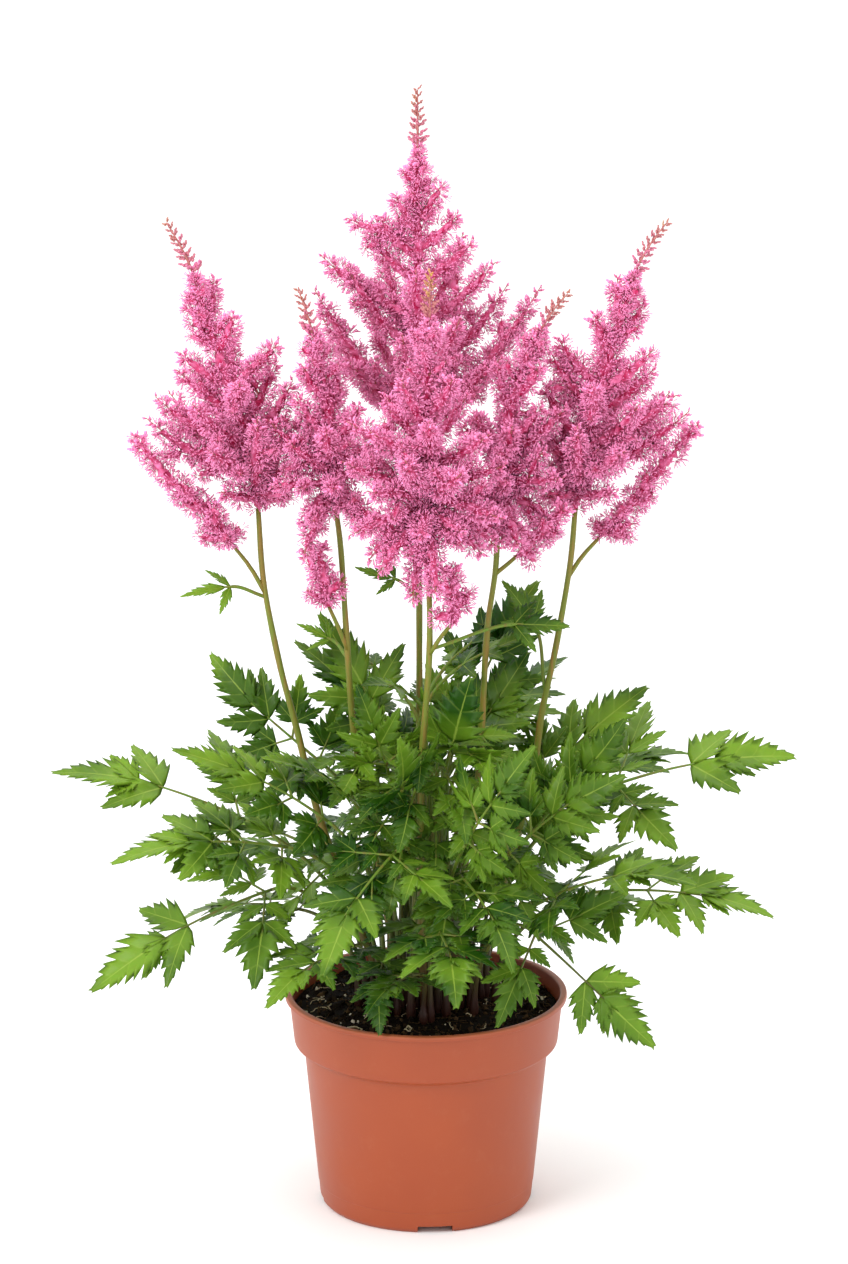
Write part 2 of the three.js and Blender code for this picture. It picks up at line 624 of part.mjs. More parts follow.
function crownLeaf(row) {
  const [form, , hub, tip, face] = row;
  const { x, y } = rootOf(row);
  const start = new THREE.Vector3(x, y, SURFACE_Z);
  return leafSolid(form, start, UP, at(hub), at(tip), at(face), PETIOLE.radius, PETIOLE.steps);
}

// ---------- flower stalks ----------
// A run of florets: rings whose points stand out as in a brush. 'ends' are the radii of its flat ends.
function florets(curve, widest, ends) {
  const { sides, step, turn, lead, foot, swell, spread } = FLORETS;
  const count = Math.max(3, Math.round(curve.getLength() / step));
  const side = sideways(curve);
  const rings = [];
  const ringAt = (share, radii, i) => rings.push(
    ring(curve.getPointAt(share), curve.getTangentAt(share), side, radii, i * turn),
  );
  if (ends) ringAt(0, Array(sides).fill(ends[0]), 0);
  for (let i = 0; i < count; i++) {
    const share = (i + lead) / (count - 1 + 2 * lead);
    const full = widest * mix(foot, 1, Math.sin(Math.PI * share ** swell));
    const radii = Array.from({ length: sides }, () => full * (1 + spread * (2 * draw() - 1)));
    ringAt(share, radii, i);
  }
  if (ends) ringAt(1, Array(sides).fill(ends[1]), count);
  return skin(rings, curve.getPoint(0), curve.getPoint(1));
}

// A direction that a curve never runs along: level, and square to where it leads.
function sideways(curve) {
  const lead = curve.getPoint(1).sub(curve.getPoint(0));
  const level = lead.cross(UP);
  return level.length() > 1 ? level.normalize() : EAST;
}

// A branch of a plume, arched, from a height on the plume's axis to its tip.
function branchCurve(axis, [height, ...tip]) {
  const [foot, top] = [axis.getPoint(0).z, axis.getPoint(1).z];
  const from = axis.getPointAt((height - foot) / (top - foot));
  const to = at(tip);
  const middle = from.clone().add(to).multiplyScalar(0.5);
  middle.z -= BRANCH.arch * (to.z - from.z);
  return new THREE.QuadraticBezierCurve3(from, middle, to);
}

// A plume: the florets of its axis and of its branches.
function plumeSolid(axis, branches, ends) {
  const solids = [florets(axis, FLORETS.core, ends)];
  branches.forEach((row) => {
    const branch = branchCurve(axis, row);
    const long = Math.min(1, branch.getLength() / BRANCH.wideLength);
    solids.push(florets(branch, mix(BRANCH.narrow, BRANCH.wide, long)));
  });
  return fuse(solids);
}

// A curve that goes on from another's end, a gap further on, through more points.
function onward(from, points) {
  const ahead = from.getTangent(1);
  const start = [GAP, GAP + STALK.topRadius].map((step) => from.getPoint(1).addScaledVector(ahead, step));
  return smoothCurve([...start, ...points.map(at)]);
}

function stalkPieces({ name, stem, plume, buds, branches, forks = [], leaves = [] }) {
  const stemCurve = smoothCurve(stem.map(at));
  const rings = taper(stemCurve, stem.length - 1, EAST, STALK.radius, STALK.topRadius, STALK.sides);
  rings.unshift(evenRing(at(stem[0]).setZ(ROOT_Z), UP, EAST, STALK.radius, STALK.sides));
  const green = [skin(rings, at(stem[0]).setZ(ROOT_Z), at(stem.at(-1)))];
  const pieces = [];
  forks.forEach((fork) => {
    const forkCurve = smoothCurve(fork.stem.map(at));
    const forkRings = taper(forkCurve, 2, UP.clone().cross(EAST), FORK.radius, FORK.topRadius, FORK.sides);
    green.push(skin(forkRings, at(fork.stem[0]), at(fork.stem.at(-1))));
    const axis = onward(forkCurve, fork.plume);
    const plumeEnds = [FORK.topRadius, FORK.topRadius];
    pieces.push(piece(`side_plume_${name}`, plumeSolid(axis, fork.branches, plumeEnds), BLOSSOM));
  });
  leaves.forEach(([form, start, hub, tip, face]) => {
    const rise = at(hub).sub(at(start)).normalize();
    green.push(leafSolid(form, at(start), rise, at(hub), at(tip), at(face), FORK.topRadius, 2));
  });
  pieces.push(piece(`stalk_${name}`, fuse(green), STEM));
  const axis = onward(stemCurve, plume);
  pieces.push(piece(`plume_${name}`, plumeSolid(axis, branches, [STALK.topRadius, BUDS.footRadius]), BLOSSOM));
  const spire = onward(axis, buds);
  pieces.push(piece(`buds_${name}`, budSolid(spire), BUD));
  return pieces;
}

// The spire of closed buds above a plume: short rings of buds, drawn to a point.
function budSolid(curve) {
  const { sides, turn } = FLORETS;
  const count = Math.round(curve.getLength() / BUDS.step);
  const side = sideways(curve);
  const rings = [evenRing(curve.getPoint(0), curve.getTangent(0), side, BUDS.footRadius, sides)];
  for (let i = 0; i < count; i++) {
    const share = (i + 0.7) / (count + 0.5);
    const radii = Array(sides).fill(mix(BUDS.radius, BUDS.topRadius, share));
    rings.push(ring(curve.getPointAt(share), curve.getTangentAt(share), side, radii, i * turn));
  }
  return skin(rings, curve.getPoint(0), curve.getPoint(1));
}

// ---------- the plant ----------
const plant = new THREE.Group();
plant.add(piece("pot", potSolid(), PLASTIC));

LEAVES.forEach((row, i) => {
  const name = `leaf_${String(i + 1).padStart(2, "0")}`;
  plant.add(piece(name, crownLeaf(row), LEAF));
});
STALKS.forEach((stalk) => plant.add(...stalkPieces(stalk)));

const leafRoots = LEAVES.map((row) => {
  const [, , hub, tip, face] = row;
  const chord = at(tip).sub(at(hub)).normalize();
  const across = chord.clone().cross(squareTo(chord, at(face)));
  return { ...rootOf(row), side: squareTo(UP, across), radius: PETIOLE.radius, sides: 4 };
});
const stalkRoots = STALKS.map(({ stem: [[x, y]] }) => (
  { x, y, side: EAST, radius: STALK.radius, sides: STALK.sides }
));
plant.add(piece("soil", soilSolid([...leafRoots, ...stalkRoots]), PEAT));

export default plant;
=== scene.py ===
# %% [markdown]
# # An astilbe in its nursery pot
# A flowering astilbe is a clump of leaves cut into toothed leaflets, with feathery plumes of tiny pink
# flowers on thin stalks. It is sold in a thin plastic pot full of dark peat.
# The solids from the CAD source are coarse stand-ins for leaves, plumes and soil. This lesson keeps where
# each of them is, and dresses every one with the fine shapes and finishes of the living plant.

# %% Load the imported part
import json
import math

import bpy
import numpy as np
from mathutils import Matrix, Vector, noise

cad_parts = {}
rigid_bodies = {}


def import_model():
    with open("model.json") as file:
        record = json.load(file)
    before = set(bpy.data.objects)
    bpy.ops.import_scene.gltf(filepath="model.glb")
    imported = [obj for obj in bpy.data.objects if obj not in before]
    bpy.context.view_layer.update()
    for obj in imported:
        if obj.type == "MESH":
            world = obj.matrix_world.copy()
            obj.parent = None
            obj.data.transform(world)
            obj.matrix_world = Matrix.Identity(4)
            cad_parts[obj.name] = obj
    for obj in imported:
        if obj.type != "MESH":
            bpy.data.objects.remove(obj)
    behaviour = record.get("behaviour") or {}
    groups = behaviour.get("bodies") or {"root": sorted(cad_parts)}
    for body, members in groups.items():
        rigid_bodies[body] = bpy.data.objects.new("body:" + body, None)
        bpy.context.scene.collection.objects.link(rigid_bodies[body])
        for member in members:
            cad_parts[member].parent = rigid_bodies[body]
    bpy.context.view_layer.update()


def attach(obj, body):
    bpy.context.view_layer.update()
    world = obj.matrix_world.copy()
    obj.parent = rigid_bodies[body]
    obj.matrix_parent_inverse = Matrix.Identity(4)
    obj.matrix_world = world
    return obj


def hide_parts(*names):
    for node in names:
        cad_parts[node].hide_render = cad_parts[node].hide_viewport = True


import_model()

# %% [markdown]
# ## Working in millimetres
# Plants and pots are measured in millimetres, and Blender works in metres. The sizes of the plant and its
# pot are written in millimetres and turned to metres where a mesh is made. Lamps and floor are in metres.

# %% Units, selection and colour
MM = 0.001


def deselect():
    """Nothing selected, so that the next operator acts on its own piece alone."""
    bpy.ops.object.select_all(action="DESELECT")


def linear(hex_colour):
    """An sRGB hex colour as the linear colour that a socket takes."""
    channels = [int(hex_colour[i:i + 2], 16) / 255 for i in (1, 3, 5)]
    return [c / 12.92 if c <= 0.04045 else ((c + 0.055) / 1.055) ** 2.4 for c in channels] + [1]


def add_node(tree, kind, settings=None, inputs=None):
    """A new node with its settings, and each input linked to a socket or set to a value."""
    made = tree.nodes.new(kind)
    for name, value in (settings or {}).items():
        setattr(made, name, value)
    for name, value in (inputs or {}).items():
        if isinstance(value, bpy.types.NodeSocket):
            tree.links.new(value, made.inputs[name])
        else:
            made.inputs[name].default_value = value
    return made


def new_material(name):
    """A new material, and its node tree, emptied to be filled."""
    material = bpy.data.materials.new(name)
    material.use_nodes = True
    tree = material.node_tree
    tree.nodes.clear()
    return material, tree


def finish_material(tree, inputs):
    """The surface: one Principled shader with its inputs, joined to the output."""
    shader = add_node(tree, "ShaderNodeBsdfPrincipled", inputs=inputs)
    add_node(tree, "ShaderNodeOutputMaterial", inputs={"Surface": shader.outputs[0]})


COLOUR = {"data_type": "RGBA"}
MIX_FACTOR, MIX_A, MIX_B, MIX_RESULT = 0, 6, 7, 2  # a colour Mix node's own sockets, by number
print("helpers ready")

# %% [markdown]
# ## The studio
# A potted plant is shown for sale on a plain white sweep, under large soft lights, from a little
# above. A bright even world gives the white, and a big floor takes the soft shadow. A strong lamp on the
# left gives leaves and plastic their soft highlight, and weaker ones lift the shadows.

# %% Camera
PICTURE_HEIGHT = 1264  # pixels
FOCAL_LENGTH = 6137  # in the same pixels
SENSOR = 24
LOOKS_DOWN = 15.86  # degrees below level
camera = bpy.data.objects.new("camera", bpy.data.cameras.new("camera"))
bpy.context.scene.collection.objects.link(camera)
camera.data.sensor_fit = "VERTICAL"
camera.data.sensor_height = SENSOR
camera.data.lens = SENSOR * FOCAL_LENGTH / PICTURE_HEIGHT
camera.location = (-1.2 * MM, -3500 * MM, 1350.8 * MM)
camera.rotation_euler = (math.radians(90 - LOOKS_DOWN), 0, 0)
camera.data.clip_end = 50
bpy.context.scene.camera = camera
bpy.context.scene.view_settings.view_transform = "Standard"
print("camera lens", round(camera.data.lens, 1))

# %% World and lamps
world = bpy.data.worlds.new("studio")
bpy.context.scene.world = world
world.use_nodes = True
sky = world.node_tree.nodes["Background"]
sky.inputs["Color"].default_value = (1, 1, 1, 1)
sky.inputs["Strength"].default_value = 1.15
PLANT_MIDDLE = Vector((0, 0, 0.35))


def softbox(name, place, size, watts):
    """A square lamp that looks at the middle of the plant."""
    lamp = bpy.data.objects.new(name, bpy.data.lights.new(name, "AREA"))
    lamp.data.size = size
    lamp.data.energy = watts
    lamp.location = place
    lamp.rotation_euler = (PLANT_MIDDLE - Vector(place)).to_track_quat("-Z", "Y").to_euler()
    bpy.context.scene.collection.objects.link(lamp)


softbox("key", (-1.4, -1.5, 1.9), 1.0, 33)
softbox("fill", (1.8, -1.4, 1.2), 1.6, 5)
softbox("top", (0.2, 0.6, 2.4), 1.6, 14)

# %% Floor
deselect()
bpy.ops.mesh.primitive_plane_add(size=14, location=(0, 0, 0))
floor = bpy.context.object
floor.name = "floor"
paper, tree = new_material("matt white paper")
finish_material(tree, {"Base Color": linear("#fbfbfb"), "Roughness": 0.9})
floor.data.materials.append(paper)
print("floor ready")

# %% [markdown]
# ## Meshes from parts
# A leaf has a dozen leaflets and a plume has thousands of florets, all copies of a few patterns. A part is
# a set of points and triangles, with a place in a small picture of the surface for every point and the
# number of its finish. Parts are collected in lists and become one mesh at the end.

# %% Parts become a piece
def part(points, triangles, surface, finish_number=0):
    """Points in millimetres, triangles, and one (u, v) for every point."""
    surface = np.broadcast_to(np.asarray(surface, float), (len(points), 2))
    return np.asarray(points, float), np.asarray(triangles, int), surface, finish_number


def joined(parts):
    """The points, triangles and surface places of all the parts, as one set."""
    starts = np.cumsum([0] + [len(points) for points, *_ in parts])
    points = np.concatenate([p[0] for p in parts])
    triangles = np.concatenate([p[1] + start for p, start in zip(parts, starts)])
    return points, triangles, np.concatenate([p[2] for p in parts])


def make_piece(name, parts, materials, nodes):
    """One smooth mesh object that stands for the named CAD nodes and rides on the root body."""
    points, triangles, surface = joined(parts)
    numbers = np.concatenate([np.full(len(p[1]), p[3]) for p in parts])
    mesh = bpy.data.meshes.new(name)
    mesh.vertices.add(len(points))
    mesh.vertices.foreach_set("co", (points * MM).ravel())
    mesh.loops.add(triangles.size)
    mesh.loops.foreach_set("vertex_index", triangles.ravel())
    mesh.polygons.add(len(triangles))
    mesh.polygons.foreach_set("loop_start", np.arange(0, triangles.size, 3))
    mesh.polygons.foreach_set("material_index", numbers)
    mesh.uv_layers.new(name="surface").data.foreach_set("uv", surface[triangles.ravel()].ravel())
    for material in materials:
        mesh.materials.append(material)
    mesh.update()
    mesh.shade_smooth()
    made = bpy.data.objects.new(name, mesh)
    bpy.context.scene.collection.objects.link(made)
    return place_piece(made, nodes)


triangle_counts = {}


def place_piece(made, nodes):
    """Sets the piece on the root body, hides the CAD nodes that it stands for, and counts its triangles."""
    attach(made, "root")
    if nodes:
        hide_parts(*nodes)
    made.data.calc_loop_triangles()
    triangle_counts[made.name] = len(made.data.loop_triangles)
    return made


# %% A modelled object becomes a pattern
def pattern_of(made):
    """Points, triangles and surface places of a modelled object, which is then taken away."""
    mesh = made.data
    mesh.calc_loop_triangles()
    points = np.empty(len(mesh.vertices) * 3)
    mesh.vertices.foreach_get("co", points)
    points = points.reshape(-1, 3)
    triangles = np.empty(len(mesh.loop_triangles) * 3, int)
    mesh.loop_triangles.foreach_get("vertices", triangles)
    triangles = triangles.reshape(-1, 3)
    a, b, c = (points[triangles[:, i]] for i in range(3))
    if np.einsum("ij,ij->", a, np.cross(b, c)) < 0:  # a volume below zero: the faces look inwards
        triangles = triangles[:, ::-1]
    surface = np.zeros((len(points), 2))
    if mesh.uv_layers.active:
        for loop, place in zip(mesh.loops, mesh.uv_layers.active.data):
            surface[loop.vertex_index] = place.uv
    bpy.data.objects.remove(made)
    return points, triangles, surface


# %% Directions
UP = np.array([0.0, 0, 1])
EAST = np.array([1.0, 0, 0])
FRONT = np.array([0.0, -1, 0])
GOLDEN_DEGREES = 137.5
GOLDEN_ANGLE = math.radians(GOLDEN_DEGREES)


def unit(vectors):
    """The vectors at length 1."""
    return vectors / np.linalg.norm(vectors, axis=-1, keepdims=True)


def square_to(ahead, vectors):
    """The vectors turned square to 'ahead', at length 1."""
    return unit(vectors - np.sum(vectors * ahead, -1, keepdims=True) * ahead)


def turned_about(vector, axis, degrees):
    """The vector turned by an angle round an axis of length 1."""
    angle = math.radians(degrees)
    return (vector * math.cos(angle) + np.cross(axis, vector) * math.sin(angle)
            + axis * np.dot(axis, vector) * (1 - math.cos(angle)))


def mix(low, high, share):
    """The value at a share of the way from low to high."""
    return low + (high - low) * share


# %% Lines through space
def bend(handles, shares):
    """Points of a Bezier curve with three or four handles."""
    points = np.array(handles, float)
    shares = np.atleast_1d(shares)[:, None, None]
    rows = np.broadcast_to(points, (len(shares), *points.shape))
    while rows.shape[1] > 1:
        rows = mix(rows[:, :-1], rows[:, 1:], shares)
    return rows[:, 0]


def smooth_through(points, steps=24):
    """Points of the smooth line through the given ones, as the CAD source draws it."""
    points = np.array(points, float)
    points = np.vstack([2 * points[0] - points[1], points, 2 * points[-1] - points[-2]])
    share = np.linspace(0, 1, steps, endpoint=False)[:, None]
    runs = []
    for before, start, end, after in zip(points, points[1:], points[2:], points[3:]):
        leave, arrive = (end - before) / 2, (after - start) / 2
        runs.append(
            (2 * share ** 3 - 3 * share ** 2 + 1) * start + (share ** 3 - 2 * share ** 2 + share) * leave
            + (3 * share ** 2 - 2 * share ** 3) * end + (share ** 3 - share ** 2) * arrive
        )
    return np.vstack([*runs, points[-2]])


class Line:
    """A line of points that can be read at any share of its length."""

    def __init__(self, points):
        self.points = np.asarray(points, float)
        steps = np.linalg.norm(np.diff(self.points, axis=0), axis=1)
        self.length = steps.sum()
        self.shares = np.concatenate([[0], np.cumsum(steps)]) / self.length

    def at(self, shares):
        """The places at the given shares."""
        return np.stack([np.interp(shares, self.shares, self.points[:, i]) for i in range(3)], -1)

    def ahead(self, shares):
        """The headings there, at length 1."""
        shares = np.asarray(shares, float)
        return unit(self.at(np.minimum(shares + 0.01, 1)) - self.at(np.maximum(shares - 0.01, 0)))


def tube(points, radii, sides, surface=(0, 0), finish_number=0):
    """A closed round skin along a line of points."""
    points = np.asarray(points, float)
    aheads = unit(np.gradient(points, axis=0))
    side = square_to(aheads[0], EAST if abs(aheads[0][0]) < 0.9 else UP)
    angles = np.arange(sides) / sides * 2 * math.pi
    rings = []
    for centre, ahead, radius in zip(points, aheads, np.broadcast_to(radii, len(points))):
        side = square_to(ahead, side)
        across = np.cross(ahead, side)
        rings.append(centre + radius * (np.outer(np.cos(angles), side) + np.outer(np.sin(angles), across)))
    skin = np.vstack([*rings, points[0], points[-1]])
    number = np.arange(sides)
    following = (number + 1) % sides
    faces = []
    for ring in range(len(points) - 1):
        low, high = ring * sides, (ring + 1) * sides
        faces.append(np.stack([low + number, low + following, high + number], 1))
        faces.append(np.stack([low + following, high + following, high + number], 1))
    last = (len(points) - 1) * sides
    faces.append(np.stack([following, number, np.full(sides, len(skin) - 2)], 1))
    faces.append(np.stack([last + number, last + following, np.full(sides, len(skin) - 1)], 1))
    return part(skin, np.vstack(faces), surface, finish_number)


print("a test tube has", len(tube([[0, 0, 0], [0, 0, 1]], 1, 6)[1]), "triangles")

# %% [markdown]
# ## The pot
# A nursery pot is moulded in one shot from polypropylene: a tapered wall, a wider band that stiffens the
# top, a rolled lip, and a raised floor with drain holes and four notches that let water run out.
# It could be made from a cylinder, or by spinning a profile. Here one circle is extruded and resized from
# ring to ring, as a potter raises a wall, because every size of the profile then stays a number.

# %% Raising a shell from rings
def turned_shell(name, profile, sides):
    """A closed shell through rings of the given radius and height, in millimetres."""
    deselect()
    (radius, height), *rest = profile
    bpy.ops.mesh.primitive_circle_add(vertices=sides, radius=radius * MM, location=(0, 0, height * MM))
    made = bpy.context.object
    made.name = name
    bpy.ops.object.transform_apply(location=True, rotation=False, scale=False)
    bpy.ops.object.mode_set(mode="EDIT")
    for next_radius, next_height in rest:
        rise = (0, 0, (next_height - height) * MM)
        bpy.ops.mesh.extrude_region_move(TRANSFORM_OT_translate={"value": rise})
        size = next_radius / radius
        bpy.ops.transform.resize(value=(size, size, 1), center_override=(0, 0, next_height * MM))
        radius, height = next_radius, next_height
    bpy.ops.mesh.select_all(action="SELECT")
    bpy.ops.mesh.fill_holes(sides=0)
    bpy.ops.mesh.normals_make_consistent(inside=False)
    bpy.ops.object.mode_set(mode="OBJECT")
    return made


def rounded(corner, before, after, radius):
    """A corner of a profile as four points of a curve that starts and ends 'radius' away from it."""
    corner, before, after = (np.array(p, float) for p in (corner, before, after))
    first = corner + radius * unit(before - corner)
    last = corner + radius * unit(after - corner)
    return [tuple(p) for p in bend([first, corner, last], np.linspace(0, 1, 4))]


# %% The pot's profile
POT_CORNERS = [  # radius, height and how far each corner is rounded
    (0.6, 5, 0), (55.5, 5, 1.0), (58, 0, 0.7), (61.6, 0, 0.7), (64, 2.6, 1.2),
    (65.05, 13.0, 0.1), (65.3, 13.3, 0.1),  # the mould's parting line
    (73.6, 98, 1.8), (79.4, 101, 1.4), (82.4, 128.6, 0.5), (85, 128.8, 0.7), (85, 132, 1.3),
    (80.9, 132, 1.2), (77.8, 102.6, 1.5), (72.0, 99.6, 1.5), (62.4, 7, 1.5), (0.6, 7, 0),
]
pot_profile = []
for i, (radius, height, round_by) in enumerate(POT_CORNERS):
    if round_by:
        near, far = POT_CORNERS[i - 1][:2], POT_CORNERS[i + 1][:2]
        pot_profile += rounded((radius, height), near, far, round_by)
    else:
        pot_profile.append((radius, height))
POT_SIDES = 112
pot = turned_shell("nursery_pot", pot_profile, POT_SIDES)
print("pot rings:", len(pot_profile))


# %% Notches and drain holes
def cut(piece, cutter):
    """Takes the cutter's shape out of the piece."""
    cutter.select_set(False)
    bpy.context.view_layer.objects.active = piece
    piece.select_set(True)
    bpy.ops.object.modifier_add(type="BOOLEAN")
    modifier = piece.modifiers[-1]
    modifier.operation = "DIFFERENCE"
    modifier.object = cutter
    bpy.ops.object.modifier_apply(modifier=modifier.name)
    bpy.data.objects.remove(cutter)


NOTCH_FROM_MIDDLE, NOTCH_SIZE = 64, (26, 21, 9.2)
DRAIN_FROM_MIDDLE, DRAIN_RADIUS, POT_FLOOR = 44, 4.5, 5
for i in range(4):
    turn = math.radians(-85 + 90 * i)
    reach = Vector((math.cos(turn), math.sin(turn), 0))
    deselect()
    bpy.ops.mesh.primitive_cube_add(
        size=1, location=reach * NOTCH_FROM_MIDDLE * MM, rotation=(0, 0, turn))
    notch = bpy.context.object
    notch.scale = [side * MM for side in NOTCH_SIZE]
    bpy.ops.object.mode_set(mode="EDIT")
    bpy.ops.mesh.bevel(offset=1.6 * MM, segments=3, affect="EDGES")
    bpy.ops.object.mode_set(mode="OBJECT")
    cut(pot, notch)
    deselect()
    bpy.ops.mesh.primitive_cylinder_add(
        vertices=32, radius=DRAIN_RADIUS * MM, depth=24 * MM,
        location=reach * DRAIN_FROM_MIDDLE * MM + Vector((0, 0, POT_FLOOR * MM)))
    cut(pot, bpy.context.object)
print("pot faces:", len(pot.data.polygons))

# %% [markdown]
# ### Its plastic
# Polypropylene coloured terracotta. It leaves the mould with a satin skin, a little cloudy where the melt
# cooled at different speeds. The top of the lip is painted paler: partly rubbing from stacking, partly a
# painted highlight where the rim faces the light. The eye reads broad soft highlights and hardly any grain.
# The grain is really about 0.2 mm and is drawn at 1 mm so that it shows at all.

# %% Moulded polypropylene
polypropylene, tree = new_material("moulded polypropylene")
place = add_node(tree, "ShaderNodeTexCoord").outputs["Object"]
clouds = add_node(tree, "ShaderNodeTexNoise", inputs={"Vector": place, "Scale": 1000 / 45, "Detail": 4})
body = add_node(tree, "ShaderNodeMix", COLOUR, {
    MIX_FACTOR: clouds.outputs["Fac"], MIX_A: linear("#943c18"), MIX_B: linear("#a2481e")})
height = add_node(tree, "ShaderNodeSeparateXYZ", inputs={"Vector": place}).outputs["Z"]
# Painted highlight, partly also rubbing from stacking: the colour turns paler towards the top edge of the
# lip.
lip_highlight = add_node(tree, "ShaderNodeMapRange", inputs={
    "Value": height, "From Min": 0.1302, "From Max": 0.1318, "To Min": 0.0, "To Max": 0.45})
rubbed_and_highlit = add_node(tree, "ShaderNodeMix", COLOUR, {
    MIX_FACTOR: lip_highlight.outputs[0], MIX_A: body.outputs[MIX_RESULT], MIX_B: linear("#b46c48")})
dust = add_node(tree, "ShaderNodeTexNoise", inputs={
    "Vector": place, "Scale": 1000 / 14, "Detail": 8, "Roughness": 0.7})
dusty = add_node(tree, "ShaderNodeMapRange", inputs={
    "Value": dust.outputs["Fac"], "From Min": 0.56, "From Max": 0.74, "To Min": 0.0, "To Max": 0.22})
colour = add_node(tree, "ShaderNodeMix", COLOUR, {
    MIX_FACTOR: dusty.outputs[0], MIX_A: rubbed_and_highlit.outputs[MIX_RESULT], MIX_B: linear("#a85c3a")})
grain = add_node(tree, "ShaderNodeTexNoise", inputs={"Vector": place, "Scale": 1000 / 1.0, "Detail": 2})
relief = add_node(tree, "ShaderNodeBump", inputs={
    "Height": grain.outputs["Fac"], "Strength": 0.12, "Distance": 0.1 * MM})
gloss = add_node(tree, "ShaderNodeMapRange", inputs={
    "Value": clouds.outputs["Fac"], "From Min": 0.3, "From Max": 0.7, "To Min": 0.4, "To Max": 0.52})
finish_material(tree, {
    "Base Color": colour.outputs[MIX_RESULT], "Roughness": gloss.outputs[0], "IOR": 1.49,
    "Normal": relief.outputs["Normal"]})
pot.data.materials.append(polypropylene)
deselect()
pot.select_set(True)
bpy.context.view_layer.objects.active = pot
bpy.ops.object.shade_smooth_by_angle(angle=math.radians(32))
place_piece(pot, ["pot"])
print("pot triangles:", triangle_counts["nursery_pot"])

# %% [markdown]
# ## The peat
# The pot is full of peat: black-brown, fibrous and crumbly, with white grains of perlite and a few pale
# roots at the surface. A bump map alone would look like velvet, so the surface gets real crumbs: one
# crumb is modelled, and copies of it are strewn with a seeded draw.

# %% The body of peat
rng = np.random.default_rng(7)  # every chance in this lesson is drawn from it, so each run is the same
SOIL_WALL = 79.3  # the pot's inner radius at the peat
SOIL_REACH = 77.5  # crumbs, fibres and roots stay inside this radius
FLAT_TOP = 122  # height of the peat's rings before clods are pushed into them
PEAT_SIDES = 120


def soil_height(x, y):
    """The peat's surface: highest at the crown, with clods and hollows."""
    share = min(1.0, math.hypot(x, y) / SOIL_WALL)
    clods = noise.noise(Vector((x / 14, y / 14, 0))) * 1.7 + noise.noise(Vector((x / 5, y / 5, 3))) * 0.8
    return mix(128.0, 122.6, share ** 1.6) + clods * (1 - 0.55 * share)


soil_profile = [(0.6, 7.4), (61.9, 7.4), (71.4, 99.2), (77.2, 102.9), (79.4, 121.6)]
soil_profile += [(radius, FLAT_TOP) for radius in np.linspace(78.6, 1.2, 40)]
peat_body = turned_shell("peat_body", soil_profile, PEAT_SIDES)
for vertex in peat_body.data.vertices:
    if vertex.co.z > (FLAT_TOP - 0.1) * MM:
        vertex.co.z = soil_height(vertex.co.x / MM, vertex.co.y / MM) * MM
points, triangles, surface = pattern_of(peat_body)
peat_parts = [part(points / MM, triangles, surface)]
print("vertices of the peat's body:", len(points))


# %% Crumbs
def lump(name, subdivisions, rough, seed):
    """A rough little stone, 1 mm in radius, modelled from an icosphere."""
    deselect()
    bpy.ops.mesh.primitive_ico_sphere_add(subdivisions=subdivisions, radius=1)
    made = bpy.context.object
    made.name = name
    for vertex in made.data.vertices:
        vertex.co *= 1 + rough * noise.noise(vertex.co * 1.3 + Vector((seed, 0, 0)))
    return pattern_of(made)


def random_turns(count):
    """Random rotation matrices."""
    axes = unit(rng.normal(size=(count, 3)))
    first = square_to(axes, rng.normal(size=(count, 3)))
    return np.stack([first, np.cross(axes, first), axes], 1)


def strew(pattern, places, sizes, surface):
    """Copies of a pattern, each with its own turn, size and place, as one part."""
    points, triangles, _ = pattern
    turns = random_turns(len(places))
    shapes = rng.uniform(0.6, 1.3, (len(places), 1, 3))
    copies = np.einsum("nij,nvj->nvi", turns, points * shapes) * sizes[:, None, None] + places[:, None]
    numbers = np.arange(len(places))[:, None, None] * len(points)
    surfaces = np.repeat(surface, len(points), 0)
    return part(copies.reshape(-1, 3), (triangles + numbers).reshape(-1, 3), surfaces)


def on_soil(count, reach=SOIL_REACH, lift=0.0):
    """Random places on the peat's surface, or a little above it."""
    radius = reach * np.sqrt(rng.random(count))
    angle = rng.random(count) * 2 * math.pi
    x, y = radius * np.cos(angle), radius * np.sin(angle)
    return np.array([[a, b, soil_height(a, b) + lift] for a, b in zip(x, y)])


CRUMBS = 425  # of each of four shapes
for seed in range(4):
    sizes = rng.gamma(3.0, 0.38, CRUMBS).clip(0.5, 3.8)
    tones = np.stack([rng.random(CRUMBS), np.zeros(CRUMBS)], 1)
    peat_parts.append(strew(lump("crumb", 1, 1.1, seed), on_soil(CRUMBS), sizes, tones))
print("crumbs:", 4 * CRUMBS)


# %% Fibres and roots
def wandering(start, length, curl, steps=5):
    """A thin line that lies over the peat and changes direction as it goes."""
    angle = rng.random() * 2 * math.pi
    points = [start]
    for _ in range(steps):
        angle += rng.normal() * curl
        x, y = points[-1][:2] + np.array([math.cos(angle), math.sin(angle)]) * length / steps
        if math.hypot(x, y) > SOIL_REACH:
            break
        points.append(np.array([x, y, soil_height(x, y) + rng.uniform(0.2, 1.6)]))
    return points


FIBRES, ROOTS = 340, 60
for start in on_soil(FIBRES):
    line = wandering(start, rng.uniform(4, 14), 0.5)
    if len(line) > 3:
        peat_parts.append(tube(line, rng.uniform(0.14, 0.34), 3, (rng.uniform(0.5, 1), 0)))
root_parts = []
for start in on_soil(ROOTS, 75):
    line = wandering(start, rng.uniform(6, 18), 0.9, 7)
    if len(line) > 4:
        root_parts.append(tube(smooth_through(line, 2), rng.uniform(0.18, 0.42), 5))
print("roots:", len(root_parts))

# %% [markdown]
# ### Peat, root and perlite finishes
# Peat is decayed moss: matt, nearly black when damp, with red-brown fibres. Perlite is popped volcanic
# glass, a chalky white. Roots are cream and a little waxy.

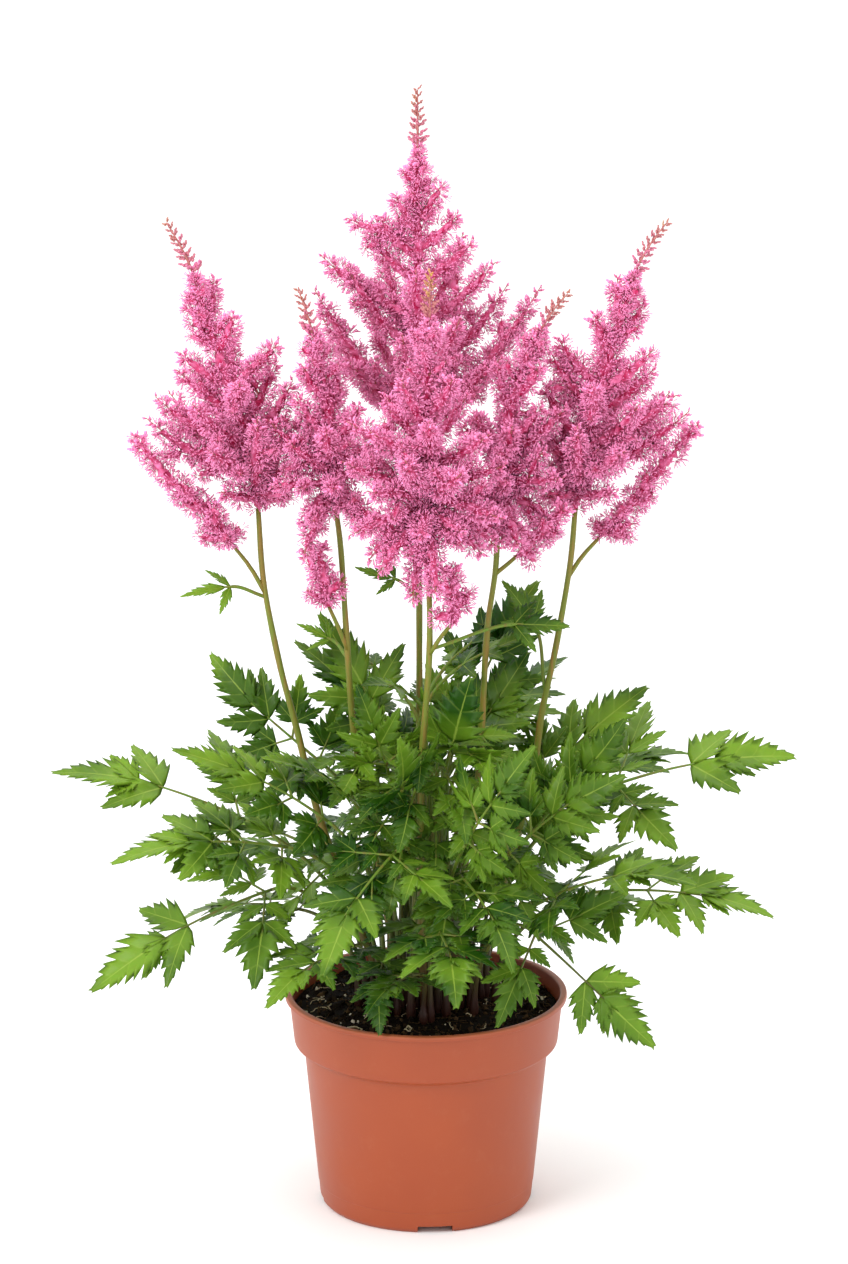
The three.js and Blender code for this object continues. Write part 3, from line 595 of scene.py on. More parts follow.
# %% Damp peat
peat, tree = new_material("damp peat")
place = add_node(tree, "ShaderNodeTexCoord").outputs["Object"]
tone = add_node(tree, "ShaderNodeSeparateXYZ", inputs={
    "Vector": add_node(tree, "ShaderNodeUVMap", {"uv_map": "surface"}).outputs[0]}).outputs["X"]
clods = add_node(tree, "ShaderNodeTexNoise", inputs={"Vector": place, "Scale": 1000 / 3, "Detail": 6})
dark = add_node(tree, "ShaderNodeMix", COLOUR, {
    MIX_FACTOR: clods.outputs["Fac"], MIX_A: linear("#070402"), MIX_B: linear("#1c130b")})
fibre = add_node(tree, "ShaderNodeMapRange", inputs={
    "Value": tone, "From Min": 0.5, "From Max": 1.0, "To Min": 0.0, "To Max": 0.6})
colour = add_node(tree, "ShaderNodeMix", COLOUR, {
    MIX_FACTOR: fibre.outputs[0], MIX_A: dark.outputs[MIX_RESULT], MIX_B: linear("#6a5034")})
relief = add_node(tree, "ShaderNodeBump", inputs={
    "Height": clods.outputs["Fac"], "Strength": 0.7, "Distance": 0.5 * MM})
finish_material(tree, {
    "Base Color": colour.outputs[MIX_RESULT], "Roughness": 0.92, "Specular IOR Level": 0.12,
    "Normal": relief.outputs["Normal"]})
make_piece("peat", peat_parts, [peat], ["soil"])
print("peat triangles:", triangle_counts["peat"])

# %% Perlite and roots
chalk, tree = new_material("popped perlite")
place = add_node(tree, "ShaderNodeTexCoord").outputs["Object"]
pits = add_node(tree, "ShaderNodeTexNoise", inputs={"Vector": place, "Scale": 1000 / 0.8, "Detail": 3})
colour = add_node(tree, "ShaderNodeMix", COLOUR, {
    MIX_FACTOR: pits.outputs["Fac"], MIX_A: linear("#b9a888"), MIX_B: linear("#f3ecdc")})
relief = add_node(tree, "ShaderNodeBump", inputs={
    "Height": pits.outputs["Fac"], "Strength": 0.5, "Distance": 0.3 * MM})
finish_material(tree, {
    "Base Color": colour.outputs[MIX_RESULT], "Roughness": 0.85, "Normal": relief.outputs["Normal"]})
root_skin, tree = new_material("root bark")
place = add_node(tree, "ShaderNodeTexCoord").outputs["Object"]
bark = add_node(tree, "ShaderNodeTexNoise", inputs={"Vector": place, "Scale": 1000 / 4, "Detail": 3})
colour = add_node(tree, "ShaderNodeMix", COLOUR, {
    MIX_FACTOR: bark.outputs["Fac"], MIX_A: linear("#8c7450"), MIX_B: linear("#e6d6b4")})
finish_material(tree, {"Base Color": colour.outputs[MIX_RESULT], "Roughness": 0.6})
GRAINS = 14  # of each of four shapes
grains = []
for seed in (5, 9, 13, 17):
    places, sizes = on_soil(GRAINS, 76, 0.5), rng.uniform(0.5, 1.3, GRAINS)
    grains.append(strew(lump("grain", 2, 0.7, seed), places, sizes, np.zeros((GRAINS, 2))))
make_piece("perlite", grains, [chalk], [])
make_piece("fine_roots", root_parts, [root_skin], [])
print("perlite triangles:", triangle_counts["perlite"])

# %% [markdown]
# ## One leaflet
# An astilbe leaflet is egg-shaped with a drawn-out tip. Straight veins run from the midrib to the teeth at
# about 45 degrees, so the margin is lobed, and each lobe carries smaller teeth. The blade is pleated
# between the veins and glossy. The mesh follows this plan: its rows run along the veins, so the teeth and
# the pleats fall on them by themselves. It could be drawn by hand point by point, but a rule gives every
# leaflet clean teeth, and it is modelled once for each number of lobes.

# %% The plan of a leaflet
VEIN_ANGLE = math.radians(44)
VEINED = 0.93  # share of the midrib that carries lobes
PATTERN_HALF = 0.27  # half width of a leaflet 1 long
PLEAT, THICKNESS = 0.018, 0.012  # on the same leaflet
# Down one lobe, from its lower notch to its point: share of the lobe, and share of the full reach.
LOBE = [(0.0, 0.56), (0.26, 0.78), (0.42, 0.94), (0.5, 0.76), (0.94, 1.0)]


def outline_half(share, half):
    """Half width of a leaflet at a share of its length: widest below the middle, drawn out to the tip."""
    share = np.clip(share, 0, 1)
    return half * 1.15 * np.sin(math.pi * share ** 0.68) ** 0.85 * (1 - share) ** 0.22


def vein_reach(start, half):
    """How far a vein runs from the midrib until it meets the margin."""
    low, high = 0.0, 1.0
    for _ in range(30):
        middle = (low + high) / 2
        along = start + middle * math.cos(VEIN_ANGLE)
        inside = along < 1 and middle * math.sin(VEIN_ANGLE) < outline_half(along, half)
        low, high = (middle, high) if inside else (low, middle)
    return low


def leaflet_rows(lobes, half):
    """For each row of the mesh: where it leaves the midrib, its reach, and its place among the lobes."""
    rows = []
    for lobe in range(lobes):
        for share, full in LOBE:
            start = (lobe + share) / lobes * VEINED
            depth = mix(1.35, 0.75, start)
            reach = vein_reach(start, half) * (1 - (1 - full) * depth)
            rows.append((start, reach, lobe + share))
    rows.append((0.95, 0.05, lobes))  # the leaflet's own point
    return rows


# %% Modelling the leaflet
def leaflet_pattern(name, lobes, half):
    """A leaflet 1 long, from its base at the origin along +Y, with its upper face towards +Z.

    Its under face is a copy of the upper one, turned over, a little lower, and merged along the margin."""
    rows = leaflet_rows(lobes, half)
    deselect()
    bpy.ops.mesh.primitive_grid_add(x_subdivisions=4, y_subdivisions=len(rows) - 1, size=1)
    made = bpy.context.object
    made.name = name
    mesh = made.data
    layer = mesh.uv_layers.active or mesh.uv_layers.new(name="surface")
    places = []
    for vertex in mesh.vertices:  # the flat grid is laid on the plan
        across = 2 * vertex.co.x
        start, reach, lobe = rows[round((vertex.co.y + 0.5) * (len(rows) - 1))]
        out = abs(across) * reach
        pleat = PLEAT * math.sin(math.pi * (lobe % 1)) * 4 * abs(across) * (1 - abs(across))
        vertex.co = (
            math.copysign(out * math.sin(VEIN_ANGLE), across),
            start + out * math.cos(VEIN_ANGLE),
            pleat * min(1, reach / 0.1),
        )
        places.append((across / 2 + 0.5, lobe))
    for loop, place in zip(mesh.loops, layer.data):
        place.uv = places[loop.vertex_index]
    upper = len(mesh.vertices)
    bpy.ops.object.mode_set(mode="EDIT")
    bpy.ops.mesh.select_all(action="SELECT")
    bpy.ops.mesh.duplicate()
    bpy.ops.mesh.flip_normals()
    bpy.ops.object.mode_set(mode="OBJECT")
    last = places[-1][1]
    for vertex, (across, lobe) in zip(mesh.vertices[upper:], places):
        if 0 < across < 1 and 0 < lobe < last:
            vertex.co.z -= THICKNESS
    bpy.ops.object.mode_set(mode="EDIT")
    bpy.ops.mesh.select_all(action="SELECT")
    bpy.ops.mesh.remove_doubles(threshold=1e-6)
    bpy.ops.object.mode_set(mode="OBJECT")
    points, triangles, surface = pattern_of(made)
    # Where all three corners lie on the margin, the two faces are one triangle: such pairs are left out.
    _, group, uses = np.unique(np.sort(triangles, 1), axis=0, return_inverse=True, return_counts=True)
    used, triangles = np.unique(triangles[uses[group.ravel()] == 1], return_inverse=True)
    return points[used], triangles.reshape(-1, 3), surface[used]


end_leaflet = leaflet_pattern("end_leaflet", 4, PATTERN_HALF)
side_leaflet = leaflet_pattern("side_leaflet", 3, PATTERN_HALF)
print("leaflet triangles:", len(end_leaflet[1]), len(side_leaflet[1]))

# %% [markdown]
# ## A compound leaf
# A leaf stands on a long petiole. Its rib carries pairs of leaflets, or branches with leaflets of their
# own, and ends in the largest leaflet. The tables below are those of the CAD source, so that each fine
# leaf lies where its plain solid is.

# %% How leaves divide
# Shares of the blade's reach from hub to tip: place on the rib, length and half width; angle from the rib.
# Each broad leaflet of the CAD source is dressed here as the three it stands for.
END_LEAFLET = {"place": 0.56, "length": 0.44, "half": 0.105, "pattern": end_leaflet}
END_LOBES = {"place": 0.555, "length": 0.22, "half": 0.055, "angle": 34, "pattern": side_leaflet}
UPPER_PAIR = {"place": 0.43, "length": 0.33, "half": 0.085, "angle": 47, "pattern": side_leaflet}


def trio(place, angle, start, length, half):
    """A pair of side branches, each with an end leaflet and two small ones below it."""
    small = {"length": length * 0.74, "half": half * 0.74, "pattern": side_leaflet}
    return {
        "place": place, "angle": angle,
        "pairs": [{"place": start, "angle": 50, **small}],
        "end": {"place": start + 0.03, "length": length, "half": half, "pattern": side_leaflet},
    }


LOWER_BRANCH = {
    "place": 0.02, "angle": 66,
    "pairs": [
        {"place": 0.08, "length": 0.17, "half": 0.042, "angle": 62, "pattern": side_leaflet},
        {"place": 0.2, "length": 0.24, "half": 0.06, "angle": 48, "pattern": side_leaflet},
    ],
    "end": {"place": 0.26, "length": 0.34, "half": 0.085, "pattern": side_leaflet},
}
FORMS = {
    "full": {"pairs": [LOWER_BRANCH, UPPER_PAIR, END_LOBES], "end": END_LEAFLET},
    "plain": {
        "pairs": [trio(0.02, 72, 0.08, 0.3, 0.08), trio(0.24, 58, 0.09, 0.3, 0.08), UPPER_PAIR, END_LOBES],
        "end": END_LEAFLET,
    },
    "young": {
        "pairs": [
            {"place": 0.06, "length": 0.42, "half": 0.12, "angle": 68, "pattern": side_leaflet},
            {"place": 0.36, "length": 0.36, "half": 0.105, "angle": 54, "pattern": side_leaflet},
        ],
        "end": {"place": 0.54, "length": 0.46, "half": 0.13, "pattern": end_leaflet},
    },
    "slim": {
        "pairs": [{"place": 0, "length": 0.6, "half": 0.085, "angle": 52, "pattern": side_leaflet}],
        "end": {"place": 0.12, "length": 0.88, "half": 0.12, "pattern": side_leaflet},
    },
    "trefoil": {
        "pairs": [{"place": 0, "length": 0.66, "half": 0.15, "angle": 55, "pattern": side_leaflet}],
        "end": {"place": 0.16, "length": 0.84, "half": 0.19, "pattern": end_leaflet},
    },
}

# %% Where each leaf of the crown is
# Form, distance of the root from the middle, hub, tip, and where the upper face looks.
LEAVES = [
    # left
    ("full", 36, (-108, -2, 240), (-222, 5, 272), (0, -0.5, 1)),
    ("plain", 30, (-82, -36, 234), (-184, -74, 242), (0, -0.5, 1)),
    ("full", 42, (-92, -25, 204), (-198, -50, 150), (0, -0.4, 1)),
    ("plain", 22, (-62, 34, 264), (-134, 50, 324), (-0.5, -0.7, 0.6)),
    ("plain", 32, (-58, -48, 254), (-148, -56, 301), (0, -0.4, 1)),
    # front, from left to right
    ("plain", 38, (-40, -50, 178), (-94, -124, 166), (0, 0, 1)),
    ("plain", 26, (-44, -38, 264), (-97, -89, 306), (0, -0.3, 1)),
    ("full", 36, (-18, -70, 242), (-66, -142, 193), (0, -0.4, 1)),
    ("plain", 12, (-19, -24, 267), (-40, -52, 341), (0, -1, 0.3)),
    ("plain", 42, (-2, -52, 160), (-33, -130, 166), (0, 0, 1)),
    ("plain", 40, (4, -62, 196), (22, -175, 184), (0, 0, 1)),
    ("plain", 24, (23, -74, 248), (64, -118, 320), (0, -0.8, 0.6)),
    ("plain", 34, (21, -55, 222), (52, -142, 196), (0, -0.4, 1)),
    ("full", 40, (62, -60, 190), (134, -100, 130), (0, -0.9, 0.5)),
    ("plain", 28, (47, -53, 234), (114, -76, 296), (0, -0.8, 0.6)),
    ("full", 32, (75, -50, 208), (158, -106, 240), (0, -0.3, 1)),
    # right
    ("plain", 22, (62, -24, 238), (120, -38, 314), (0, -0.9, 0.4)),
    ("plain", 42, (106, -16, 200), (208, -40, 194), (0, -0.4, 1)),
    ("full", 36, (110, 14, 256), (222, 12, 276), (0, -0.5, 1)),
    ("plain", 22, (55, 17, 241), (130, 36, 312), (0, -0.6, 0.8)),
    # middle
    ("plain", 9, (-16, 12, 276), (-78, 26, 344), (0, -0.3, 1)),
    ("plain", 10, (9, 8, 256), (64, 14, 340), (0, -0.7, 0.7)),
    ("plain", 14, (22, 27, 292), (64, 48, 376), (0, -0.7, 0.7)),
    ("trefoil", 16, (-14, -60, 278), (-22, -104, 322), (0, -0.8, 0.6)),
    ("trefoil", 20, (14, -34, 292), (34, -66, 348), (0, -0.8, 0.6)),
    ("trefoil", 16, (-32, -3, 314), (-66, 8, 366), (0, -0.8, 0.6)),
    # back, from right to left
    ("plain", 42, (67, 41, 175), (145, 90, 152), (0, 0, 1)),
    ("full", 34, (78, 60, 232), (165, 118, 250), (0, 0, 1)),
    ("plain", 28, (26, 43, 272), (86, 114, 308), (0, 0, 1)),
    ("full", 38, (33, 79, 221), (72, 175, 212), (0, 0, 1)),
    ("plain", 42, (2, 60, 180), (4, 150, 165), (0, 0, 1)),
    ("full", 34, (-25, 79, 231), (-62, 175, 238), (0, 0, 1)),
    ("plain", 22, (9, 56, 261), (-2, 140, 290), (0, 0, 1)),
    ("full", 40, (-72, 62, 204), (-150, 122, 200), (0, 0, 1)),
    ("plain", 42, (-74, 38, 170), (-152, 85, 150), (0, 0, 1)),
]
print("leaves:", len(LEAVES))

# %% Laying a leaflet
BLADE, GREEN_STEM = 0, 1  # finishes of a leaf
LONGER, WIDER = (0.96, 1.1), (1.16, 1.46)  # living leaflets beside the plain ones of the tables


def lay_leaflet(base, ahead, normal, reach, shape):
    """A copy of the pattern on its place, folded along the midrib and drooping to its tip."""
    points, triangles, surface = shape["pattern"]
    length = shape["length"] * reach * rng.uniform(*LONGER)
    wide = shape["half"] / shape["length"] / PATTERN_HALF * rng.uniform(*WIDER)
    ahead = turned_about(ahead, normal, rng.normal() * 4)
    normal = turned_about(normal, ahead, rng.normal() * 8)
    side = np.cross(ahead, normal)
    fold, droop, sway = rng.uniform(0.12, 0.34), rng.uniform(0.06, 0.24), rng.normal() * 0.04
    along = points[:, 1] * length
    out = points[:, 0] * length * wide + sway * length * points[:, 1] ** 2
    waves = np.sin(points[:, 1] * 17 + rng.random() * 6)
    ripple = 0.012 * length * waves * (np.abs(points[:, 0]) / PATTERN_HALF) ** 2
    lift = points[:, 2] * length + fold * np.abs(out) - droop * length * points[:, 1] ** 2 + ripple
    placed = base + np.outer(along, ahead) + np.outer(out, side) + np.outer(lift, normal)
    return part(placed, triangles, surface, BLADE)


# %% Ribs and branches
RIB_RADIUS, BRANCH_RADIUS, TIP_RADIUS = 1.05, 0.8, 0.55


def rib_parts(along, reach, radius, form):
    """The rib that 'along' describes, with all that it carries."""
    end = form["end"]["place"]
    shares = np.linspace(0, end + 0.04, 12)
    line = np.array([along(share)[0] for share in shares])
    parts = [tube(line, np.linspace(radius, TIP_RADIUS, len(line)), 6, (0.5, 0), GREEN_STEM)]
    for shape in form["pairs"]:
        centre, ahead, normal = along(shape["place"] + 1.5 / reach)
        for hand in (-1, 1):
            leads = turned_about(ahead, normal, -hand * shape["angle"])
            if "pairs" in shape:
                branch = branch_line(centre, leads, normal, reach)
                parts += rib_parts(branch, reach, BRANCH_RADIUS, shape)
            else:
                parts.append(lay_leaflet(centre, leads, normal, reach, shape))
    parts.append(lay_leaflet(*along(end), reach, form["end"]))
    return parts


def branch_line(centre, leads, normal, reach):
    """A straight side branch, as a place, a heading and a normal for every share of the reach."""
    return lambda share: (centre + leads * share * reach, leads, normal)


def leaf_parts(form, start, rise, hub, tip, face, radius, root=None):
    """A compound leaf: a petiole from 'start' to the hub, then the arched rib of its blade."""
    start, hub, tip = (np.array(p, float) for p in (start, hub, tip))
    reach = np.linalg.norm(tip - hub)
    chord = (tip - hub) / reach
    normal = square_to(chord, np.array(face, float))
    across = np.cross(chord, normal)
    rib = [hub, (hub + tip) / 2 + 0.13 * reach * normal, tip]
    run = np.linalg.norm(hub - start)
    petiole = [start, start + rise * 0.45 * run, hub - unit(rib[1] - hub) * 0.3 * run, hub]

    def along(share):
        """Place, heading and normal of the rib at a share of its reach."""
        ahead = unit(bend(rib, share + 0.01)[0] - bend(rib, share - 0.01)[0])
        return bend(rib, share)[0], ahead, np.cross(square_to(ahead, across), ahead)

    line = bend(petiole, np.linspace(0, 1, 26))
    radii = np.linspace(radius, RIB_RADIUS, len(line))
    if root is not None:
        line = np.vstack([root, line])
        radii = np.concatenate([[radius * 1.5], radii])
        radii[1:5] *= [1.9, 1.55, 1.3, 1.12]  # the sheath at a petiole's foot
    parts = [tube(line, radii, 8, (rng.random(), 0), GREEN_STEM)]
    return parts + rib_parts(along, reach, RIB_RADIUS, FORMS[form])


print("leaf forms:", list(FORMS))

# %% [markdown]
# ### Leaf green
# A leaf is a thin waxy sheet. Its upper face has a soft gloss, and its midrib and veins are pale
# yellow-green lines. The green is painted darker near the middle of the clump and lighter and yellower
# towards its sides: painted shade inside the clump and painted light at its sides.
# The surface map of a leaflet says how far a point is across the blade and between which veins it lies,
# so the veins are drawn from it: the midrib about 1 mm wide, wider than a real one, so that it shows.

# %% Leaf blade
blade, tree = new_material("waxy leaf blade")
surface = add_node(tree, "ShaderNodeUVMap", {"uv_map": "surface"}).outputs[0]
place = add_node(tree, "ShaderNodeTexCoord").outputs["Object"]
split = add_node(tree, "ShaderNodeSeparateXYZ", inputs={"Vector": surface})
across = add_node(tree, "ShaderNodeMath", {"operation": "SUBTRACT"}, {0: split.outputs["X"], 1: 0.5})
from_rib = add_node(tree, "ShaderNodeMath", {"operation": "ABSOLUTE"}, {0: across.outputs[0]})
midrib = add_node(tree, "ShaderNodeMapRange", inputs={
    "Value": from_rib.outputs[0], "From Min": 0.008, "From Max": 0.032, "To Min": 0.6, "To Max": 0.0})
between = add_node(tree, "ShaderNodeMath", {"operation": "FRACT"}, {0: split.outputs["Y"]})
centred = add_node(tree, "ShaderNodeMath", {"operation": "SUBTRACT"}, {0: between.outputs[0], 1: 0.5})
from_vein = add_node(tree, "ShaderNodeMath", {"operation": "ABSOLUTE"}, {0: centred.outputs[0]})
vein = add_node(tree, "ShaderNodeMapRange", inputs={
    "Value": from_vein.outputs[0], "From Min": 0.42, "From Max": 0.49, "To Min": 0.0, "To Max": 0.16})
lines = add_node(tree, "ShaderNodeMath", {"operation": "MAXIMUM"}, {
    0: midrib.outputs[0], 1: vein.outputs[0]})
patches = add_node(tree, "ShaderNodeTexNoise", inputs={"Vector": place, "Scale": 1000 / 55, "Detail": 2})
strong = add_node(tree, "ShaderNodeMapRange", inputs={
    "Value": patches.outputs["Fac"], "From Min": 0.4, "From Max": 0.62})
# Painted shade and light: the green darkens towards the middle of the clump and brightens towards its
# sides, mostly from left to right.
flat = add_node(tree, "ShaderNodeMapping", inputs={"Vector": place, "Scale": (1, 0.3, 0)})
far = add_node(tree, "ShaderNodeVectorMath", {"operation": "LENGTH"}, {0: flat.outputs[0]})
outer = add_node(tree, "ShaderNodeMapRange", inputs={
    "Value": far.outputs["Value"], "From Min": 0.05, "From Max": 0.18, "To Min": 0.0, "To Max": 0.5})
patches_and_painted_light = add_node(tree, "ShaderNodeMath", {"operation": "MULTIPLY_ADD", "use_clamp": True}, {
    0: strong.outputs[0], 1: 0.75, 2: outer.outputs[0]})
green = add_node(tree, "ShaderNodeMix", COLOUR, {
    MIX_FACTOR: patches_and_painted_light.outputs[0], MIX_A: linear("#1d4402"), MIX_B: linear("#6c9020")})
cells = add_node(tree, "ShaderNodeTexNoise", inputs={"Vector": place, "Scale": 1000 / 3, "Detail": 4})
mottle = add_node(tree, "ShaderNodeMix", {**COLOUR, "blend_type": "OVERLAY"}, {
    MIX_FACTOR: 0.35, MIX_A: green.outputs[MIX_RESULT], MIX_B: cells.outputs["Color"]})
softened = add_node(tree, "ShaderNodeMix", COLOUR, {
    MIX_FACTOR: 0.75, MIX_A: mottle.outputs[MIX_RESULT], MIX_B: green.outputs[MIX_RESULT]})
colour = add_node(tree, "ShaderNodeMix", COLOUR, {
    MIX_FACTOR: lines.outputs[0], MIX_A: softened.outputs[MIX_RESULT], MIX_B: linear("#96ae44")})
relief = add_node(tree, "ShaderNodeBump", inputs={
    "Height": cells.outputs["Fac"], "Strength": 0.35, "Distance": 0.35 * MM})
finish_material(tree, {
    "Base Color": colour.outputs[MIX_RESULT], "Roughness": 0.42, "Specular IOR Level": 0.22,
    "Subsurface Weight": 0.12, "Subsurface Radius": (0.4, 1.0, 0.2), "Subsurface Scale": 0.6 * MM,
    "Normal": relief.outputs["Normal"]})

# %% [markdown]
# ### Petioles and stalks
# Young stems are juicy and smooth, green above and flushed wine-red where they leave the soil. The flush
# follows height, so it is drawn on the height above the pot's foot.

# %% Stem skin
def stem_material(name, low, middle, high, streak):
    """A herb's stem: its colour low in the pot, at the leaves and at the top, with fine streaks."""
    made, tree = new_material(name)
    place = add_node(tree, "ShaderNodeTexCoord").outputs["Object"]
    height = add_node(tree, "ShaderNodeSeparateXYZ", inputs={"Vector": place}).outputs["Z"]
    lower = add_node(tree, "ShaderNodeMapRange", inputs={
        "Value": height, "From Min": 0.135, "From Max": 0.215})
    upper = add_node(tree, "ShaderNodeMapRange", inputs={
        "Value": height, "From Min": 0.34, "From Max": 0.46})
    first = add_node(tree, "ShaderNodeMix", COLOUR, {
        MIX_FACTOR: lower.outputs[0], MIX_A: linear(low), MIX_B: linear(middle)})
    second = add_node(tree, "ShaderNodeMix", COLOUR, {
        MIX_FACTOR: upper.outputs[0], MIX_A: first.outputs[MIX_RESULT], MIX_B: linear(high)})
    stretch = add_node(tree, "ShaderNodeMapping", inputs={"Vector": place, "Scale": (1, 1, 0.12)})
    streaks = add_node(tree, "ShaderNodeTexNoise", inputs={
        "Vector": stretch.outputs[0], "Scale": 1000 / 2.5, "Detail": 3})
    strong = add_node(tree, "ShaderNodeMapRange", inputs={
        "Value": streaks.outputs["Fac"], "From Min": 0.42, "From Max": 0.72, "To Min": 0.0, "To Max": 0.75})
    above = add_node(tree, "ShaderNodeMath", {"operation": "MULTIPLY"}, {
        0: strong.outputs[0], 1: lower.outputs[0]})
    colour = add_node(tree, "ShaderNodeMix", COLOUR, {
        MIX_FACTOR: above.outputs[0], MIX_A: second.outputs[MIX_RESULT], MIX_B: linear(streak)})
    relief = add_node(tree, "ShaderNodeBump", inputs={
        "Height": streaks.outputs["Fac"], "Strength": 0.4, "Distance": 0.3 * MM})
    finish_material(tree, {
        "Base Color": colour.outputs[MIX_RESULT], "Roughness": 0.48, "IOR": 1.4,
        "Normal": relief.outputs["Normal"]})
    return made


petiole_skin = stem_material("petiole skin", "#36180e", "#5f7f24", "#74922e", "#7c6430")
stalk_skin = stem_material("flower stalk skin", "#4e2c18", "#6c7824", "#7c8430", "#946a34")


# %% Growing the crown's leaves
LEAF_FINISHES = [blade, petiole_skin]  # numbered as BLADE and GREEN_STEM say
ROOT_HEIGHT, SPROUT_HEIGHT = 118, 131  # inside the peat, and just above it
GROWN_PETIOLE, YOUNG_PETIOLE, THIN_PETIOLE = 1.5, 1.3, 1.2  # radii at the foot


def grow_leaf(name, form, distance, hub, tip, face, radius, nodes):
    """A leaf that stands in the peat, below the line from the middle to its hub."""
    out = unit(np.array([hub[0], hub[1], 0.0])) * distance
    root, start = out + ROOT_HEIGHT * UP, out + SPROUT_HEIGHT * UP
    parts = leaf_parts(form, start, UP, hub, tip, face, radius, root)
    make_piece(name, parts, LEAF_FINISHES, nodes)


for number, (form, distance, hub, tip, face) in enumerate(LEAVES, 1):
    node = f"leaf_{number:02d}"
    grow_leaf(f"compound_{node}", form, distance, hub, tip, face, GROWN_PETIOLE, [node])
print("leaf triangles:", sum(n for name, n in triangle_counts.items() if "leaf" in name))

# %% [markdown]
# ## Young leaves
# The crown pushes up smaller leaves of five leaflets all through the summer, and they fill the clump
# between the grown ones. Most could be strewn by chance, in rings that droop outwards. Those that hide the
# bare lower stems are set one by one.

# %% Rings of young leaves
# How many, radius and height of the hub, how far the tip is out and up from the hub, distance of the root
# from the middle.
RINGS = [
    (4, 48, 178, 46, -30, 33), (8, 52, 226, 52, -40, 27),
    (8, 34, 286, 56, -12, 16), (4, 20, 330, 46, 20, 8),
]
young = 0
for count, out_hub, high, reach_out, reach_up, distance in RINGS:
    for i in range(count):
        angle = (i + 0.5 + rng.uniform(-0.2, 0.2)) / count * 2 * math.pi + high
        out = np.array([math.cos(angle), math.sin(angle), 0])
        hub = out * out_hub + UP * (high + rng.uniform(-12, 12))
        tip = hub + turned_about(out, UP, rng.uniform(-35, 35)) * reach_out + UP * reach_up
        young += 1
        face = UP + out * 0.4
        grow_leaf(f"young_leaf_{young:02d}", "young", distance, hub, tip, face, YOUNG_PETIOLE, [])
print("young leaves:", young)

# %% Young leaves round the stems
ROUND_THE_STEMS = [  # hub, tip
    ((-12, -44, 244), (-22, -86, 206)), ((20, -44, 262), (34, -88, 228)), ((6, -40, 220), (8, -86, 186)),
    ((-40, -48, 222), (-58, -84, 180)), ((42, -40, 226), (66, -76, 190)),
    ((-30, -20, 296), (-52, -60, 266)), ((30, -18, 300), (58, -52, 270)), ((-2, -30, 304), (-4, -76, 282)),
    ((-28, 20, 246), (-58, 40, 218)), ((-10, 34, 238), (-18, 78, 222)), ((24, 30, 242), (44, 66, 226)),
    ((-46, 8, 220), (-86, 18, 198)), ((-22, -8, 264), (-46, -26, 232)), ((46, 4, 214), (84, 12, 190)),
    ((-24, 40, 196), (-52, 72, 178)), ((26, 42, 192), (50, 78, 176)),
    ((-4, -40, 278), (-16, -84, 246)), ((12, -44, 282), (26, -90, 256)), ((-16, -36, 262), (-40, -72, 232)),
    ((6, -30, 252), (6, -72, 216)), ((24, -34, 240), (44, -74, 206)),
]
STEMS_FROM_MIDDLE, FACE = 18, (0, -0.5, 1)
for hub, tip in ROUND_THE_STEMS:
    young += 1
    name = f"young_leaf_{young:02d}"
    grow_leaf(name, "young", STEMS_FROM_MIDDLE, hub, tip, FACE, THIN_PETIOLE, [])
print("young leaves:", young)

# %% [markdown]
# ## Flower stalks
# Each stalk rises out of the leaves, forks once below its plume, and carries a small leaf of three
# leaflets there. Fine brown hairs stand on it. The points are again those of the CAD source.

